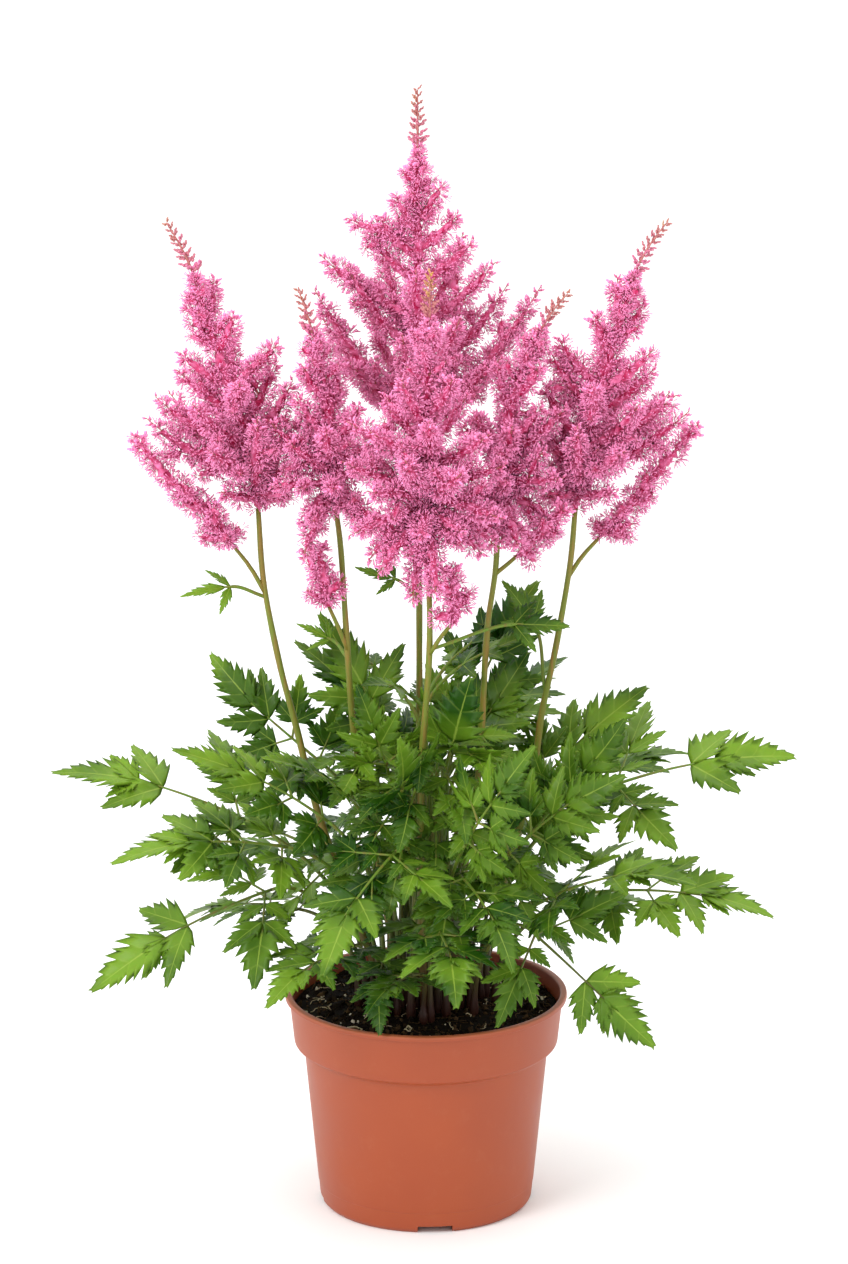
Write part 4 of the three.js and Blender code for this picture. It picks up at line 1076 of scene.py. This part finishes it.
# %% The six stalks
# Stems, plumes and buds are runs of points. A branch is its height on the axis and its tip.
STALKS = [
    {
        "name": "back",
        "stem": [(-3, 14, 131), (-4, 22, 200), (-4, 31, 270), (-4, 40, 370), (-4, 46, 440), (-5, 48, 470)],
        "plume": [(-5, 49, 530), (-5, 50, 590), (-5, 50, 640)],
        "buds": [(-5, 50, 657), (-5, 50, 673)],
        "branches": [
            # left and right, from the lowest up
            (482, -66, 50, 553), (478, 68, 46, 556), (520, -48, 44, 570), (503, 48, 60, 553),
            (535, 41, 48, 570), (562, -32, 52, 584), (560, 28, 50, 583), (576, -28, 46, 598),
            (580, 19, 52, 598),
            # towards the front, then the back
            (484, -46, 8, 520), (486, 44, 4, 522), (495, -14, -12, 540), (500, 20, -4, 548),
            (530, -6, 10, 574), (484, -34, 104, 530), (488, 24, 108, 536), (478, -62, 82, 528),
            (480, 60, 84, 528), (520, -28, 88, 574), (530, 22, 90, 578),
            # short ones below the spire
            (590, -18, 40, 612), (598, 9, 42, 618), (606, -6, 66, 626),
        ],
        "leaves": [("slim", (-4, 41, 366), (-17, 38, 378), (-44, 34, 388), (0, -0.8, 0.6))],
    },
    {
        "name": "left",
        "stem": [(-24, -2, 131), (-37, -2, 165), (-52, -2, 207), (-66, -2, 250), (-77, -1, 297),
            (-87, 0, 337), (-96, 0, 387), (-99, 0, 432)],
        "plume": [(-104, 0, 470), (-117, 0, 510), (-136, 0, 574)],
        "buds": [(-143, 0, 590), (-151, 0, 604)],
        "branches": [
            (508, -86, -4, 534), (484, -88, 18, 518), (508, -144, -2, 527), (492, -146, 8, 514),
            (466, -159, 4, 499), (452, -164, -8, 489), (460, -152, 34, 494), (470, -136, -30, 503),
            (496, -108, -40, 518), (446, -98, -36, 496), (458, -126, -42, 478), (442, -120, -22, 448),
            (446, -84, -3, 458), (444, -84, 30, 468), (454, -106, 50, 494), (464, -132, 46, 506),
            (500, -116, 34, 536), (528, -112, -10, 552), (532, -140, 6, 556), (546, -124, 14, 568),
        ],
        "forks": [{
            "stem": [(-95, 0, 380), (-104, -2, 397), (-115, -4, 412)],
            "plume": [(-131, -6, 434), (-150, -10, 452), (-171, -12, 479)],
            "branches": [
                (416, -117, -20, 420), (418, -132, 6, 424), (432, -146, -2, 440), (440, -142, -18, 452),
            ],
        }],
        "leaves": [("slim", (-95, 0, 378), (-114, -6, 386), (-146, -12, 382), (0, -0.7, 0.7))],
    },
    {
        "name": "left_centre",
        "stem": [(-15, -10, 131), (-24, -12, 190), (-34, -14, 250), (-43, -17, 302), (-47, -19, 362),
            (-50, -20, 412), (-53, -20, 438)],
        "plume": [(-55, -20, 470), (-60, -20, 515), (-66, -20, 542)],
        "buds": [(-70, -20, 557), (-74, -20, 568)],
        "branches": [
            (482, -76, -22, 506), (478, -38, -30, 502), (462, -80, -36, 482), (456, -30, -44, 478),
            (452, -72, -38, 430), (450, -40, -44, 436), (470, -58, -50, 492), (456, -54, -54, 458),
            (462, -74, 8, 488), (466, -42, 12, 492), (480, -60, 8, 508), (498, -50, -12, 524),
            (504, -72, -30, 526),
        ],
        "forks": [{
            "stem": [(-46, -19, 350), (-51, -22, 364), (-57, -26, 379)],
            "plume": [(-60, -29, 398), (-63, -31, 417)],
            "branches": [(384, -70, -34, 392), (388, -50, -36, 398), (396, -70, -26, 412)],
        }],
        "leaves": [("slim", (-46, -18, 345), (-55, -10, 354), (-78, -4, 362), (0, -0.7, 0.7))],
    },
    {
        "name": "front_centre",
        "stem": [(-1, -22, 131), (-3, -32, 205), (-3, -43, 280), (2, -54, 361), (1, -60, 422),
            (1, -62, 435)],
        "plume": [(1, -63, 466), (0, -64, 516), (2, -64, 562)],
        "buds": [(2, -64, 576), (2, -64, 588)],
        "branches": [
            # hanging and reaching forwards
            (446, -28, -90, 416), (450, -4, -98, 440), (448, 22, -94, 442), (446, 34, -78, 424),
            (460, -34, -98, 468), (464, -12, -112, 490), (462, 20, -112, 482), (480, 2, -102, 510),
            (476, 36, -92, 500), (482, -32, -86, 500),
            # to the sides and back
            (462, -48, -76, 480), (464, 46, -68, 476), (488, -24, -50, 514), (490, 24, -46, 512),
            (470, 0, -34, 494), (500, -14, -76, 528), (504, 16, -74, 530),
        ],
        "forks": [{
            "stem": [(2, -54, 358), (9, -60, 371), (16, -66, 381)],
            "plume": [(17, -71, 398), (15, -77, 416)],
            "branches": [(388, 4, -76, 386), (392, 26, -72, 402), (400, 10, -84, 412)],
        }],
        "leaves": [("trefoil", (2, -54, 361), (50, -46, 374), (84, -40, 369), (0, -0.6, 0.8))],
    },
    {
        "name": "right_centre",
        "stem": [(14, -9, 131), (20, -11, 190), (27, -14, 240), (31, -16, 272), (33, -17, 302),
            (36, -19, 362), (41, -20, 402), (42, -20, 436)],
        "plume": [(45, -20, 475), (52, -20, 508), (67, -20, 545)],
        "buds": [(75, -20, 558), (82, -20, 566)],
        "branches": [
            (476, 68, -22, 500), (474, 28, -32, 498), (460, 70, -34, 476), (452, 66, -28, 452),
            (450, 28, -42, 426), (456, 46, -52, 462), (468, 50, -48, 494), (448, 20, -34, 450),
            (460, 62, 8, 484), (464, 30, 8, 488), (478, 52, 8, 508), (496, 42, -14, 522),
            (504, 66, -30, 526),
        ],
        "forks": [{
            "stem": [(40, -20, 397), (48, -21, 404), (54, -23, 410)],
            "plume": [(62, -29, 420), (82, -35, 442)],
            "branches": [(414, 64, -24, 406), (422, 78, -28, 426), (428, 68, -44, 438)],
        }],
    },
    {
        "name": "right",
        "stem": [(26, -1, 131), (38, -1, 170), (52, 0, 220), (64, 0, 270), (69, 0, 307), (77, 0, 347),
            (85, 0, 397), (88, 0, 432)],
        "plume": [(95, 0, 475), (105, 0, 515), (122, 0, 575)],
        "buds": [(131, 0, 592), (140, 0, 604)],
        "branches": [
            (508, 77, -4, 536), (488, 80, 18, 520), (506, 133, -2, 529), (492, 135, 8, 516),
            (470, 147, 4, 500), (456, 154, -8, 493), (462, 144, 34, 494), (470, 126, -30, 505),
            (492, 96, -40, 516), (450, 88, -40, 492), (458, 116, -42, 478), (444, 112, -22, 448),
            (448, 72, -3, 460), (446, 72, 30, 470), (454, 96, 50, 494), (464, 122, 46, 506),
            (500, 106, 34, 536), (528, 98, -10, 552), (532, 128, 6, 556), (546, 112, 14, 568),
        ],
        "forks": [{
            "stem": [(84, 0, 390), (92, 2, 402), (103, 4, 414)],
            "plume": [(122, 7, 434), (140, 10, 456), (160, 12, 480)],
            "branches": [
                (418, 108, 12, 416), (420, 122, -4, 424), (434, 136, 12, 440), (444, 130, 0, 454),
            ],
        }],
        "leaves": [("trefoil", (71, 0, 318), (64, 5, 360), (44, 9, 386), (0, -0.7, 0.7))],
    },
]
print("stalks:", [stalk["name"] for stalk in STALKS])


# %% Stems and hairs
def stem_tube(line, foot_radius, top_radius, sides=10):
    """A stem with a slight swelling every few centimetres, where a bract once sat."""
    shares = np.linspace(0, 1, max(6, int(line.length / 6)))
    radii = np.linspace(foot_radius, top_radius, len(shares))
    radii *= 1 + 0.05 * np.sin(shares * line.length / 9)
    return tube(line.at(shares), radii, sides)


def hairs(line, foot_radius, top_radius, spacing):
    """Fine hairs, 1 to 2 mm long, each a thin three-sided spike."""
    parts = []
    for share in np.arange(0.1, 0.97, spacing / line.length):
        centre, ahead = line.at(share), line.ahead(share)
        out = square_to(ahead, rng.normal(size=3))
        surface = centre + out * mix(foot_radius, top_radius, share) * 0.9
        tip = surface + (out + ahead * rng.uniform(-0.2, 0.5)) * rng.uniform(0.9, 2.0)
        parts.append(tube([surface, mix(surface, tip, 0.5), tip], [0.1, 0.07, 0.01], 3))
    return parts


hair_skin, tree = new_material("brown stem hair")
place = add_node(tree, "ShaderNodeTexCoord").outputs["Object"]
shades = add_node(tree, "ShaderNodeTexNoise", inputs={"Vector": place, "Scale": 1000 / 12, "Detail": 2})
colour = add_node(tree, "ShaderNodeMix", COLOUR, {
    MIX_FACTOR: shades.outputs["Fac"], MIX_A: linear("#7a4f2a"), MIX_B: linear("#b08a58")})
finish_material(tree, {"Base Color": colour.outputs[MIX_RESULT], "Roughness": 0.6})

# %% Growing the stalks
STALK_RADII, FORK_RADII = (2.5, 1.6), (1.4, 1.1)  # at the foot and at the top
hair_parts = []
for stalk in STALKS:
    stem = Line(smooth_through(stalk["stem"]))
    foot_x, foot_y, _ = stalk["stem"][0]
    rooted = Line(np.vstack([[foot_x, foot_y, ROOT_HEIGHT], stem.points]))
    parts = [stem_tube(rooted, *STALK_RADII)]
    hair_parts += hairs(stem, *STALK_RADII, 2.2)
    for fork in stalk.get("forks", []):
        line = Line(smooth_through(fork["stem"]))
        parts.append(stem_tube(line, *FORK_RADII, 8))
        hair_parts += hairs(line, *FORK_RADII, 1.5)
    node = f"stalk_{stalk['name']}"
    make_piece(f"flower_{node}", parts, [stalk_skin], [node])
    for form, start, hub, tip, face in stalk.get("leaves", []):
        rise = unit(np.array(hub, float) - np.array(start, float))
        parts = leaf_parts(form, start, rise, hub, tip, face, 1.1)
        make_piece(f"stem_leaf_{stalk['name']}", parts, LEAF_FINISHES, [])
make_piece("stem_hairs", hair_parts, [hair_skin], [])
print("hairs:", len(hair_parts))

# %% [markdown]
# ## One floret
# An astilbe flower is less than 10 mm across: five thread-thin petals, wider towards the tip, round a tuft
# of stamens. Thousands of them make the plume look like down. A petal is a slim cone of four faces that
# stands on its point, with one corner of its base pulled out to the petal's tip. Five turned copies of it
# are the petals, and a sixth in the middle stands for the stamens: 24 faces, few enough to repeat.

# %% A petal
PETAL_LENGTH = 4.8
deselect()
bpy.ops.mesh.primitive_cone_add(
    vertices=3, radius1=0.47, radius2=0, depth=PETAL_LENGTH, end_fill_type="NGON")
petal = bpy.context.object
petal.rotation_euler = (math.pi, 0, 0)
petal.location = (0, 0, PETAL_LENGTH / 2)
bpy.ops.object.transform_apply(location=True, rotation=True, scale=False)
lowest_y = min(vertex.co.y for vertex in petal.data.vertices)
for vertex in petal.data.vertices:
    vertex.select = vertex.co.z > 4 and vertex.co.y == lowest_y
bpy.ops.object.mode_set(mode="EDIT")
bpy.ops.transform.translate(value=(0, 0, 0.9))
bpy.ops.object.mode_set(mode="OBJECT")
print("petal faces:", len(petal.data.polygons), "reach:", max(v.co.z for v in petal.data.vertices))

# %% The floret
PETALS = [(50, 0), (58, 72), (44, 144), (56, 216), (48, 288), (14, 40)]  # tilt and turn, degrees
copies = []
for tilt, turn in PETALS:
    deselect()
    petal.select_set(True)
    bpy.context.view_layer.objects.active = petal
    bpy.ops.object.duplicate()
    copy = bpy.context.object
    copy.rotation_euler = (math.radians(tilt), 0, math.radians(turn))
    bpy.ops.object.transform_apply(location=False, rotation=True, scale=False)
    copies.append(copy)
bpy.data.objects.remove(petal)
deselect()
for copy in copies:
    copy.select_set(True)
bpy.context.view_layer.objects.active = copies[0]
bpy.ops.object.join()
floret = pattern_of(bpy.context.object)
FLORET_REACH = np.linalg.norm(floret[0], axis=1).max()
print("floret triangles:", len(floret[1]), "reach:", round(FLORET_REACH, 2))

# %% [markdown]
# ## A twig of buds
# Towards the tip of every branch the flowers are still closed: short twigs, each with a few bead-like
# buds, stand left and right like the bones of a fish.

# %% A bud twig
TWIG_LENGTH = 5.4
BUD_PLACES = [(0.75, 0, 1.9), (-0.7, 0.35, 2.7), (0.3, -0.7, 3.5), (-0.2, 0.5, 4.4), (0, 0, TWIG_LENGTH)]
twig_parts = [tube([(0, 0, 0), (0, 0, 2.6), (0, 0, 4.9)], [0.3, 0.26, 0.14], 3)]
deselect()
bpy.ops.mesh.primitive_uv_sphere_add(segments=4, ring_count=2, radius=1.0)
bud_sphere = bpy.context.object
bud_sphere.data.transform(Matrix.Diagonal((1, 1, 1.3, 1)))
bud_points, bud_triangles, _ = pattern_of(bud_sphere)
for x, y, z in BUD_PLACES:
    bead = bud_points * mix(1.0, 0.75, z / TWIG_LENGTH) + (x, y, z)
    twig_parts.append(part(bead, bud_triangles, (0, 0)))
twig = joined(twig_parts)
print("twig triangles:", len(twig[1]))

# %% [markdown]
# ## Brushes of florets
# A branch of the plume is a bottlebrush: florets stand all round it, leaning towards its tip. Copies of
# the floret are laid out by the golden angle with a little seeded disorder, which never lines up in rows.

# %% Laying copies along directions
def lay_copies(pattern, places, directions, sizes, tones, light=1.0, finish_number=0):
    """Copies of a pattern whose +Z points along each direction, as one part.

    The surface map holds each copy's tone, and how far out a point is on its copy, times 'light', which is
    lower for copies further in: painted shade."""
    points, triangles, _ = pattern
    spin = square_to(directions, rng.normal(size=directions.shape))
    frames = np.stack([spin, np.cross(directions, spin), directions], 2)
    copies = np.einsum("nij,vj->nvi", frames, points) * sizes[:, None, None] + places[:, None]
    numbers = np.arange(len(places))[:, None, None] * len(points)
    reaches = np.linalg.norm(points, axis=1)
    out = np.broadcast_to(light, len(places))[:, None] * (reaches / reaches.max())
    surface = np.stack([np.repeat(tones, len(points)), out.ravel()], 1)
    return part(copies.reshape(-1, 3), (triangles + numbers).reshape(-1, 3), surface, finish_number)


FLORET, BRANCH_SKIN = 0, 1  # finishes of a plume
CLUMPS_PER_MM = 0.41  # on a brush 9 mm wide
CLUMP = 5  # florets on a twig
FELT_SIDES = 8
FELT_SHARE = 0.28  # of the brush's width


def round_line(line, count, start, end):
    """Shares, outward directions and headings of 'count' copies set round a line by the golden angle."""
    shares = mix(start, end, (np.arange(count) + rng.random(count)) / count)
    aheads = line.ahead(shares)
    first = square_to(aheads, np.cross(line.ahead(0.5), UP) + 1e-3)
    second = np.cross(aheads, first)
    angles = np.arange(count) * GOLDEN_ANGLE + rng.normal(size=count) * 0.35 + rng.random() * 6
    outs = first * np.cos(angles)[:, None] + second * np.sin(angles)[:, None]
    return shares, outs, aheads


def felt(line, radius, ends, tone):
    """The dense inside of a brush: a core of blunt spikes that stands for the inner florets, with painted
    shade: dark in its hollows and paler at its points.
    """
    steps = np.linspace(*ends, max(5, int(line.length * (ends[1] - ends[0]) / 2.2)))
    centres = line.at(steps)
    radii = radius * np.sin(math.pi * np.linspace(0.06, 0.94, len(steps)) ** 0.8) ** 0.5
    points, triangles, _, finish = tube(centres, radii, FELT_SIDES, (0, 0), FLORET)
    middles = np.vstack([np.repeat(centres, FELT_SIDES, 0), centres[[0, -1]]])
    spikes = rng.uniform(0.35, 1.65, len(points))
    points = middles + (points - middles) * spikes[:, None] + rng.normal(size=points.shape) * 0.35
    # Painted shade: the lower a spike, the more of the petal's dark base colour it takes.
    surface = np.stack([np.full(len(points), tone * 0.85), (spikes - 0.35) * 0.42], 1)
    return part(points, triangles, surface, finish)


def brush(line, widest, tone, ends, full):
    """Short twigs round a branch, each with a clump of florets, and the felt between them, painted dark as
    painted shade.
    """
    clumps = max(4, round(line.length * CLUMPS_PER_MM * full * widest / 9))
    shares, outs, aheads = round_line(line, clumps, *ends)
    swell = widest * mix(0.42, 1, np.sin(math.pi * np.clip(shares, 0, 1) ** 0.7) ** 0.7)
    lengths = swell * rng.uniform(0.82, 1.18, clumps)
    headings = unit(outs + aheads * rng.uniform(0.2, 0.7, (clumps, 1)))
    count = clumps * CLUMP
    rows = (shares, headings, lengths, swell)
    shares, headings, lengths, swell = (np.repeat(row, CLUMP, 0) for row in rows)
    steps = np.tile(np.linspace(0.4, 1, CLUMP), clumps)
    sizes = (0.52 + swell / 22) * rng.uniform(0.8, 1.15, count)
    depth = np.maximum(0.4, lengths - FLORET_REACH * sizes * 0.9) * steps
    scatter = rng.normal(size=(count, 3))
    directions = unit(headings + scatter * mix(0.7, 0.35, steps)[:, None])
    places = line.at(shares) + headings * depth[:, None] + scatter * 0.8
    tones = np.clip(tone + rng.normal(size=count) * 0.12, 0, 1)
    # Painted shade: florets further in along their twig get a lower 'light', so less of the petal's pale
    # tip.
    return [
        lay_copies(floret, places, directions, sizes, tones, mix(0.5, 1, steps), FLORET),
        felt(line, widest * FELT_SHARE, (max(0.02, ends[0]), ends[1] - 0.06), tone),
        tube(line.at(np.linspace(0, 1, 8)), np.linspace(0.75, 0.3, 8), 5, (0, 0), BRANCH_SKIN),
    ]


def bud_tip(line, start, size, tone, spacing=2.4):
    """Bud twigs in four ranks over the end of a branch, smaller towards its tip.

    The tone is one number, or one at the start and one at the tip."""
    count = max(4, round(line.length * (1 - start) / spacing))
    shares = np.linspace(start, 0.99, count)
    aheads = line.ahead(shares)
    side = square_to(aheads, np.cross(aheads, -FRONT) + 1e-3)
    angles = np.resize([0, 180, 80, 0, 180, 280], count) + rng.normal(size=count) * 18
    angles = np.radians(angles)[:, None]
    outs = side * np.cos(angles) + np.cross(aheads, side) * np.sin(angles)
    directions = unit(outs + aheads * mix(0.6, 1.2, (shares - start) / (1 - start))[:, None])
    sizes = size * np.linspace(1.0, 0.5, count) * rng.uniform(0.9, 1.1, count)
    first, last = np.broadcast_to(tone, 2)
    tones = np.clip(np.linspace(first, last, count) + rng.normal(size=count) * 0.08, 0, 1)
    return lay_copies(twig, line.at(shares), directions, sizes, tones)


# %% A plume
AXIS_WIDTH, TOP_WIDTH = 10.6, 6.2  # of the middle brush, and of the short ones round its top
TOP_BRUSHES = 8
LONG_BRANCH = 26  # a longer branch ends in bud twigs


def onward(line, points):
    """A line that goes on from another's end, a gap further on, through more points."""
    ahead, end = line.ahead(1), line.at(1)
    return Line(smooth_through([end + ahead * 0.3, end + ahead * 1.9, *points]))


def branch_of(axis, height, *tip):
    """A branch that leaves the axis at a height and bends up to its tip."""
    foot, top = axis.at(0)[2], axis.at(1)[2]
    share = (height - foot) / (top - foot)
    start, tip = axis.at(share), np.array(tip, float)
    middle = (start + tip) / 2
    middle[2] -= 0.25 * (tip[2] - start[2])
    return share, Line(bend([start, middle, tip], np.linspace(0, 1, 24)))


def side_brushes(branch, widest, tone, full):
    """Short side brushes on the lower part of a long branch, which make it full."""
    parts = []
    count = max(0, int((branch.length - 18) / 13 * full ** 2))
    for i in range(count):
        share = mix(0.16, 0.72, (i + 0.5) / count)
        ahead = branch.ahead(share)
        out = square_to(ahead, rng.normal(size=3))
        length = mix(20, 10, share) * rng.uniform(0.8, 1.2)
        start = branch.at(share)
        lean = unit(out + ahead * 0.6)
        handles = [start, start + lean * length * 0.6, start + lean * length + ahead * 2]
        line = Line(bend(handles, np.linspace(0, 1, 6)))
        parts += brush(line, widest * 0.72, tone, (0.3, 0.98), full)
    return parts


def top_brushes(axis, tone, full):
    """Short brushes round the top of a plume, which shorten to its tip."""
    parts = []
    for i in range(TOP_BRUSHES):
        share = mix(0.7, 0.93, i / (TOP_BRUSHES - 1))
        ahead = axis.ahead(share)
        side = square_to(ahead, np.cross(ahead, -FRONT))
        out = turned_about(side, ahead, i * GOLDEN_DEGREES + 20)
        lean = unit(out + ahead * 0.7) * mix(15, 8.5, i / (TOP_BRUSHES - 1))
        start = axis.at(share)
        line = Line(bend([start, start + lean * 0.6, start + lean + ahead * 2], np.linspace(0, 1, 5)))
        parts += brush(line, TOP_WIDTH, tone, (0.25, 1), full)
    return parts


def plume_parts(axis, branches, foot_tone, top_tone, full):
    """A plume: its middle brush and its branches, older and duller at the foot."""
    parts = brush(axis, AXIS_WIDTH, mix(foot_tone, top_tone, 0.8), (0.02, 0.99), full)
    parts.append(bud_tip(axis, 0.9, 1.5, top_tone, 1.6))
    for row in branches:
        share, branch = branch_of(axis, *row)
        tone = mix(foot_tone, top_tone, min(1.0, share * 2)) + rng.normal() * 0.06
        widest = mix(7.8, 10.2, min(1.0, branch.length / 55))
        long = branch.length > LONG_BRANCH
        parts += brush(branch, widest, tone, (0.03, 0.9 if long else 0.97), full)
        parts += side_brushes(branch, widest, tone, full)
        if long:
            parts.append(bud_tip(branch, 0.82, 1.2, tone, 2.2))
    return parts


print("florets on 100 mm of a full brush:", round(100 * CLUMPS_PER_MM) * CLUMP)

# %% [markdown]
# ### Petal pink
# Petals are thin and a little see-through. Each petal is painted from a deep magenta base to a pale tip,
# and florets further in on a brush get less of the pale tip: painted shade, so that a plume is light
# outside and dark in its hollows. Flowers at the foot of a plume are older and duller.

# %% Petals
petal_skin, tree = new_material("astilbe petal")
surface = add_node(tree, "ShaderNodeUVMap", {"uv_map": "surface"}).outputs[0]
split = add_node(tree, "ShaderNodeSeparateXYZ", inputs={"Vector": surface})
# Painted shade: a petal's base and the florets deep in a brush take the dark magenta, the outer tips the
# pale pink.
tip = add_node(tree, "ShaderNodeMapRange", inputs={
    "Value": split.outputs["Y"], "From Min": 0.1, "From Max": 0.75})
old = add_node(tree, "ShaderNodeMix", COLOUR, {
    MIX_FACTOR: tip.outputs[0], MIX_A: linear("#96264e"), MIX_B: linear("#ec8cb8")})
young = add_node(tree, "ShaderNodeMix", COLOUR, {
    MIX_FACTOR: tip.outputs[0], MIX_A: linear("#ca145c"), MIX_B: linear("#ff9ace")})
colour = add_node(tree, "ShaderNodeMix", COLOUR, {
    MIX_FACTOR: split.outputs["X"], MIX_A: old.outputs[MIX_RESULT], MIX_B: young.outputs[MIX_RESULT]})
finish_material(tree, {
    "Base Color": colour.outputs[MIX_RESULT], "Roughness": 0.6, "IOR": 1.4,
    "Sheen Weight": 0.15, "Sheen Tint": linear("#ffd0e8")})
twig_skin = stem_material("plume twig skin", "#8a5a3a", "#a0703c", "#a8655a", "#b56a6a")

# %% Buds
bud_skin, tree = new_material("closed bud")
place = add_node(tree, "ShaderNodeTexCoord").outputs["Object"]
surface = add_node(tree, "ShaderNodeUVMap", {"uv_map": "surface"}).outputs[0]
tone = add_node(tree, "ShaderNodeSeparateXYZ", inputs={"Vector": surface}).outputs["X"]
spots = add_node(tree, "ShaderNodeTexNoise", inputs={"Vector": place, "Scale": 1000 / 1.5, "Detail": 2})
pink = add_node(tree, "ShaderNodeMix", COLOUR, {
    MIX_FACTOR: spots.outputs["Fac"], MIX_A: linear("#c04a7c"), MIX_B: linear("#ec94ba")})
brown = add_node(tree, "ShaderNodeMix", COLOUR, {
    MIX_FACTOR: spots.outputs["Fac"], MIX_A: linear("#a04c4c"), MIX_B: linear("#d2908a")})
gold = add_node(tree, "ShaderNodeMix", COLOUR, {
    MIX_FACTOR: spots.outputs["Fac"], MIX_A: linear("#b8863c"), MIX_B: linear("#e0b668")})
closing = add_node(tree, "ShaderNodeMapRange", inputs={"Value": tone, "From Min": 0.0, "From Max": 0.45})
yellowing = add_node(tree, "ShaderNodeMapRange", inputs={"Value": tone, "From Min": 0.55, "From Max": 1.0})
closed = add_node(tree, "ShaderNodeMix", COLOUR, {
    MIX_FACTOR: closing.outputs[0], MIX_A: pink.outputs[MIX_RESULT], MIX_B: brown.outputs[MIX_RESULT]})
colour = add_node(tree, "ShaderNodeMix", COLOUR, {
    MIX_FACTOR: yellowing.outputs[0], MIX_A: closed.outputs[MIX_RESULT], MIX_B: gold.outputs[MIX_RESULT]})
finish_material(tree, {"Base Color": colour.outputs[MIX_RESULT], "Roughness": 0.55, "IOR": 1.4})


# %% The plumes and their spires
def spire_parts(line, tone):
    """The closed top of a plume: a thin stem with twigs of buds that shorten to the tip."""
    stem = tube(line.at(np.linspace(0, 1, 9)), np.linspace(0.9, 0.35, 9), 5, (0.5, 0))
    return [stem, bud_tip(line, 0.0, 1.3, tone, 1.45)]


# Branches that fill the gaps between neighbouring plumes, and those on the forks' own small plumes.
FILLING = {
    "back": [(584, -46, 50, 596), (540, -62, 56, 572)],
    "left": [(474, -78, -10, 512), (458, -76, -4, 486), (444, -80, -16, 446), (440, -78, 8, 438)],
    "left_centre": [
        (462, -92, -24, 492), (456, -90, -40, 456), (450, -28, -52, 436), (448, -72, -54, 416),
        (446, -34, -24, 424), (470, -22, -36, 482),
    ],
    "front_centre": [
        (452, -44, -84, 438), (450, -34, -60, 416), (448, 6, -96, 402), (458, 44, -92, 450),
        (452, 42, -60, 424), (446, -8, -80, 396), (480, -46, -60, 500),
    ],
    "right_centre": [
        (450, 44, -56, 424), (456, 80, -44, 462), (470, 82, -24, 500), (450, 78, -30, 430),
        (446, 54, -66, 424), (446, 34, -60, 430), (476, 20, -30, 490),
    ],
    "right": [
        (474, 68, -10, 512), (458, 66, -4, 486), (444, 70, -16, 446), (494, 72, -8, 530),
        (440, 66, 8, 438),
    ],
}
FORK_FILLING = {
    "left": [(414, -110, -10, 424), (416, -134, -2, 416), (424, -124, -18, 438)],
    "right": [(416, 100, 6, 424), (418, 122, 0, 414), (426, 116, -10, 438)],
}
# How young a plume's florets are at its foot and at its top, and how full it is.
PLUMES = {
    "back": (0.55, 1.0, 0.72), "left": (0.65, 1.0, 0.77), "left_centre": (0.75, 1.0, 0.86),
    "front_centre": (0.85, 1.0, 0.86), "right_centre": (0.75, 1.0, 0.86), "right": (0.65, 1.0, 0.77),
}
PLUME_FINISHES = [petal_skin, twig_skin]  # numbered as FLORET and BRANCH_SKIN say
for stalk in STALKS:
    name = stalk["name"]
    looks = PLUMES[name]
    axis = onward(Line(smooth_through(stalk["stem"])), stalk["plume"])
    parts = plume_parts(axis, stalk["branches"] + FILLING[name], *looks) + top_brushes(axis, *looks[1:])
    make_piece(f"blossom_{name}", parts, PLUME_FINISHES, [f"plume_{name}"])
    for fork in stalk.get("forks", []):
        side_axis = onward(Line(smooth_through(fork["stem"])), fork["plume"])
        branches = fork["branches"] + FORK_FILLING.get(name, [])
        parts = plume_parts(side_axis, branches, *looks) + [bud_tip(side_axis, 0.86, 1.0, looks[1])]
        make_piece(f"side_blossom_{name}", parts, PLUME_FINISHES, [f"side_plume_{name}"])
    spire = onward(axis, stalk["buds"])
    bud_tone = (0.3, 1.0) if name == "front_centre" else (0.1, 0.6)
    make_piece(f"spire_{name}", spire_parts(spire, bud_tone), [bud_skin], [f"buds_{name}"])
print("blossom triangles:", {n: c for n, c in triangle_counts.items() if "blossom" in n})

# %% Sizes and the end
print("triangles in all:", sum(triangle_counts.values()), "most:", max(triangle_counts.values()))
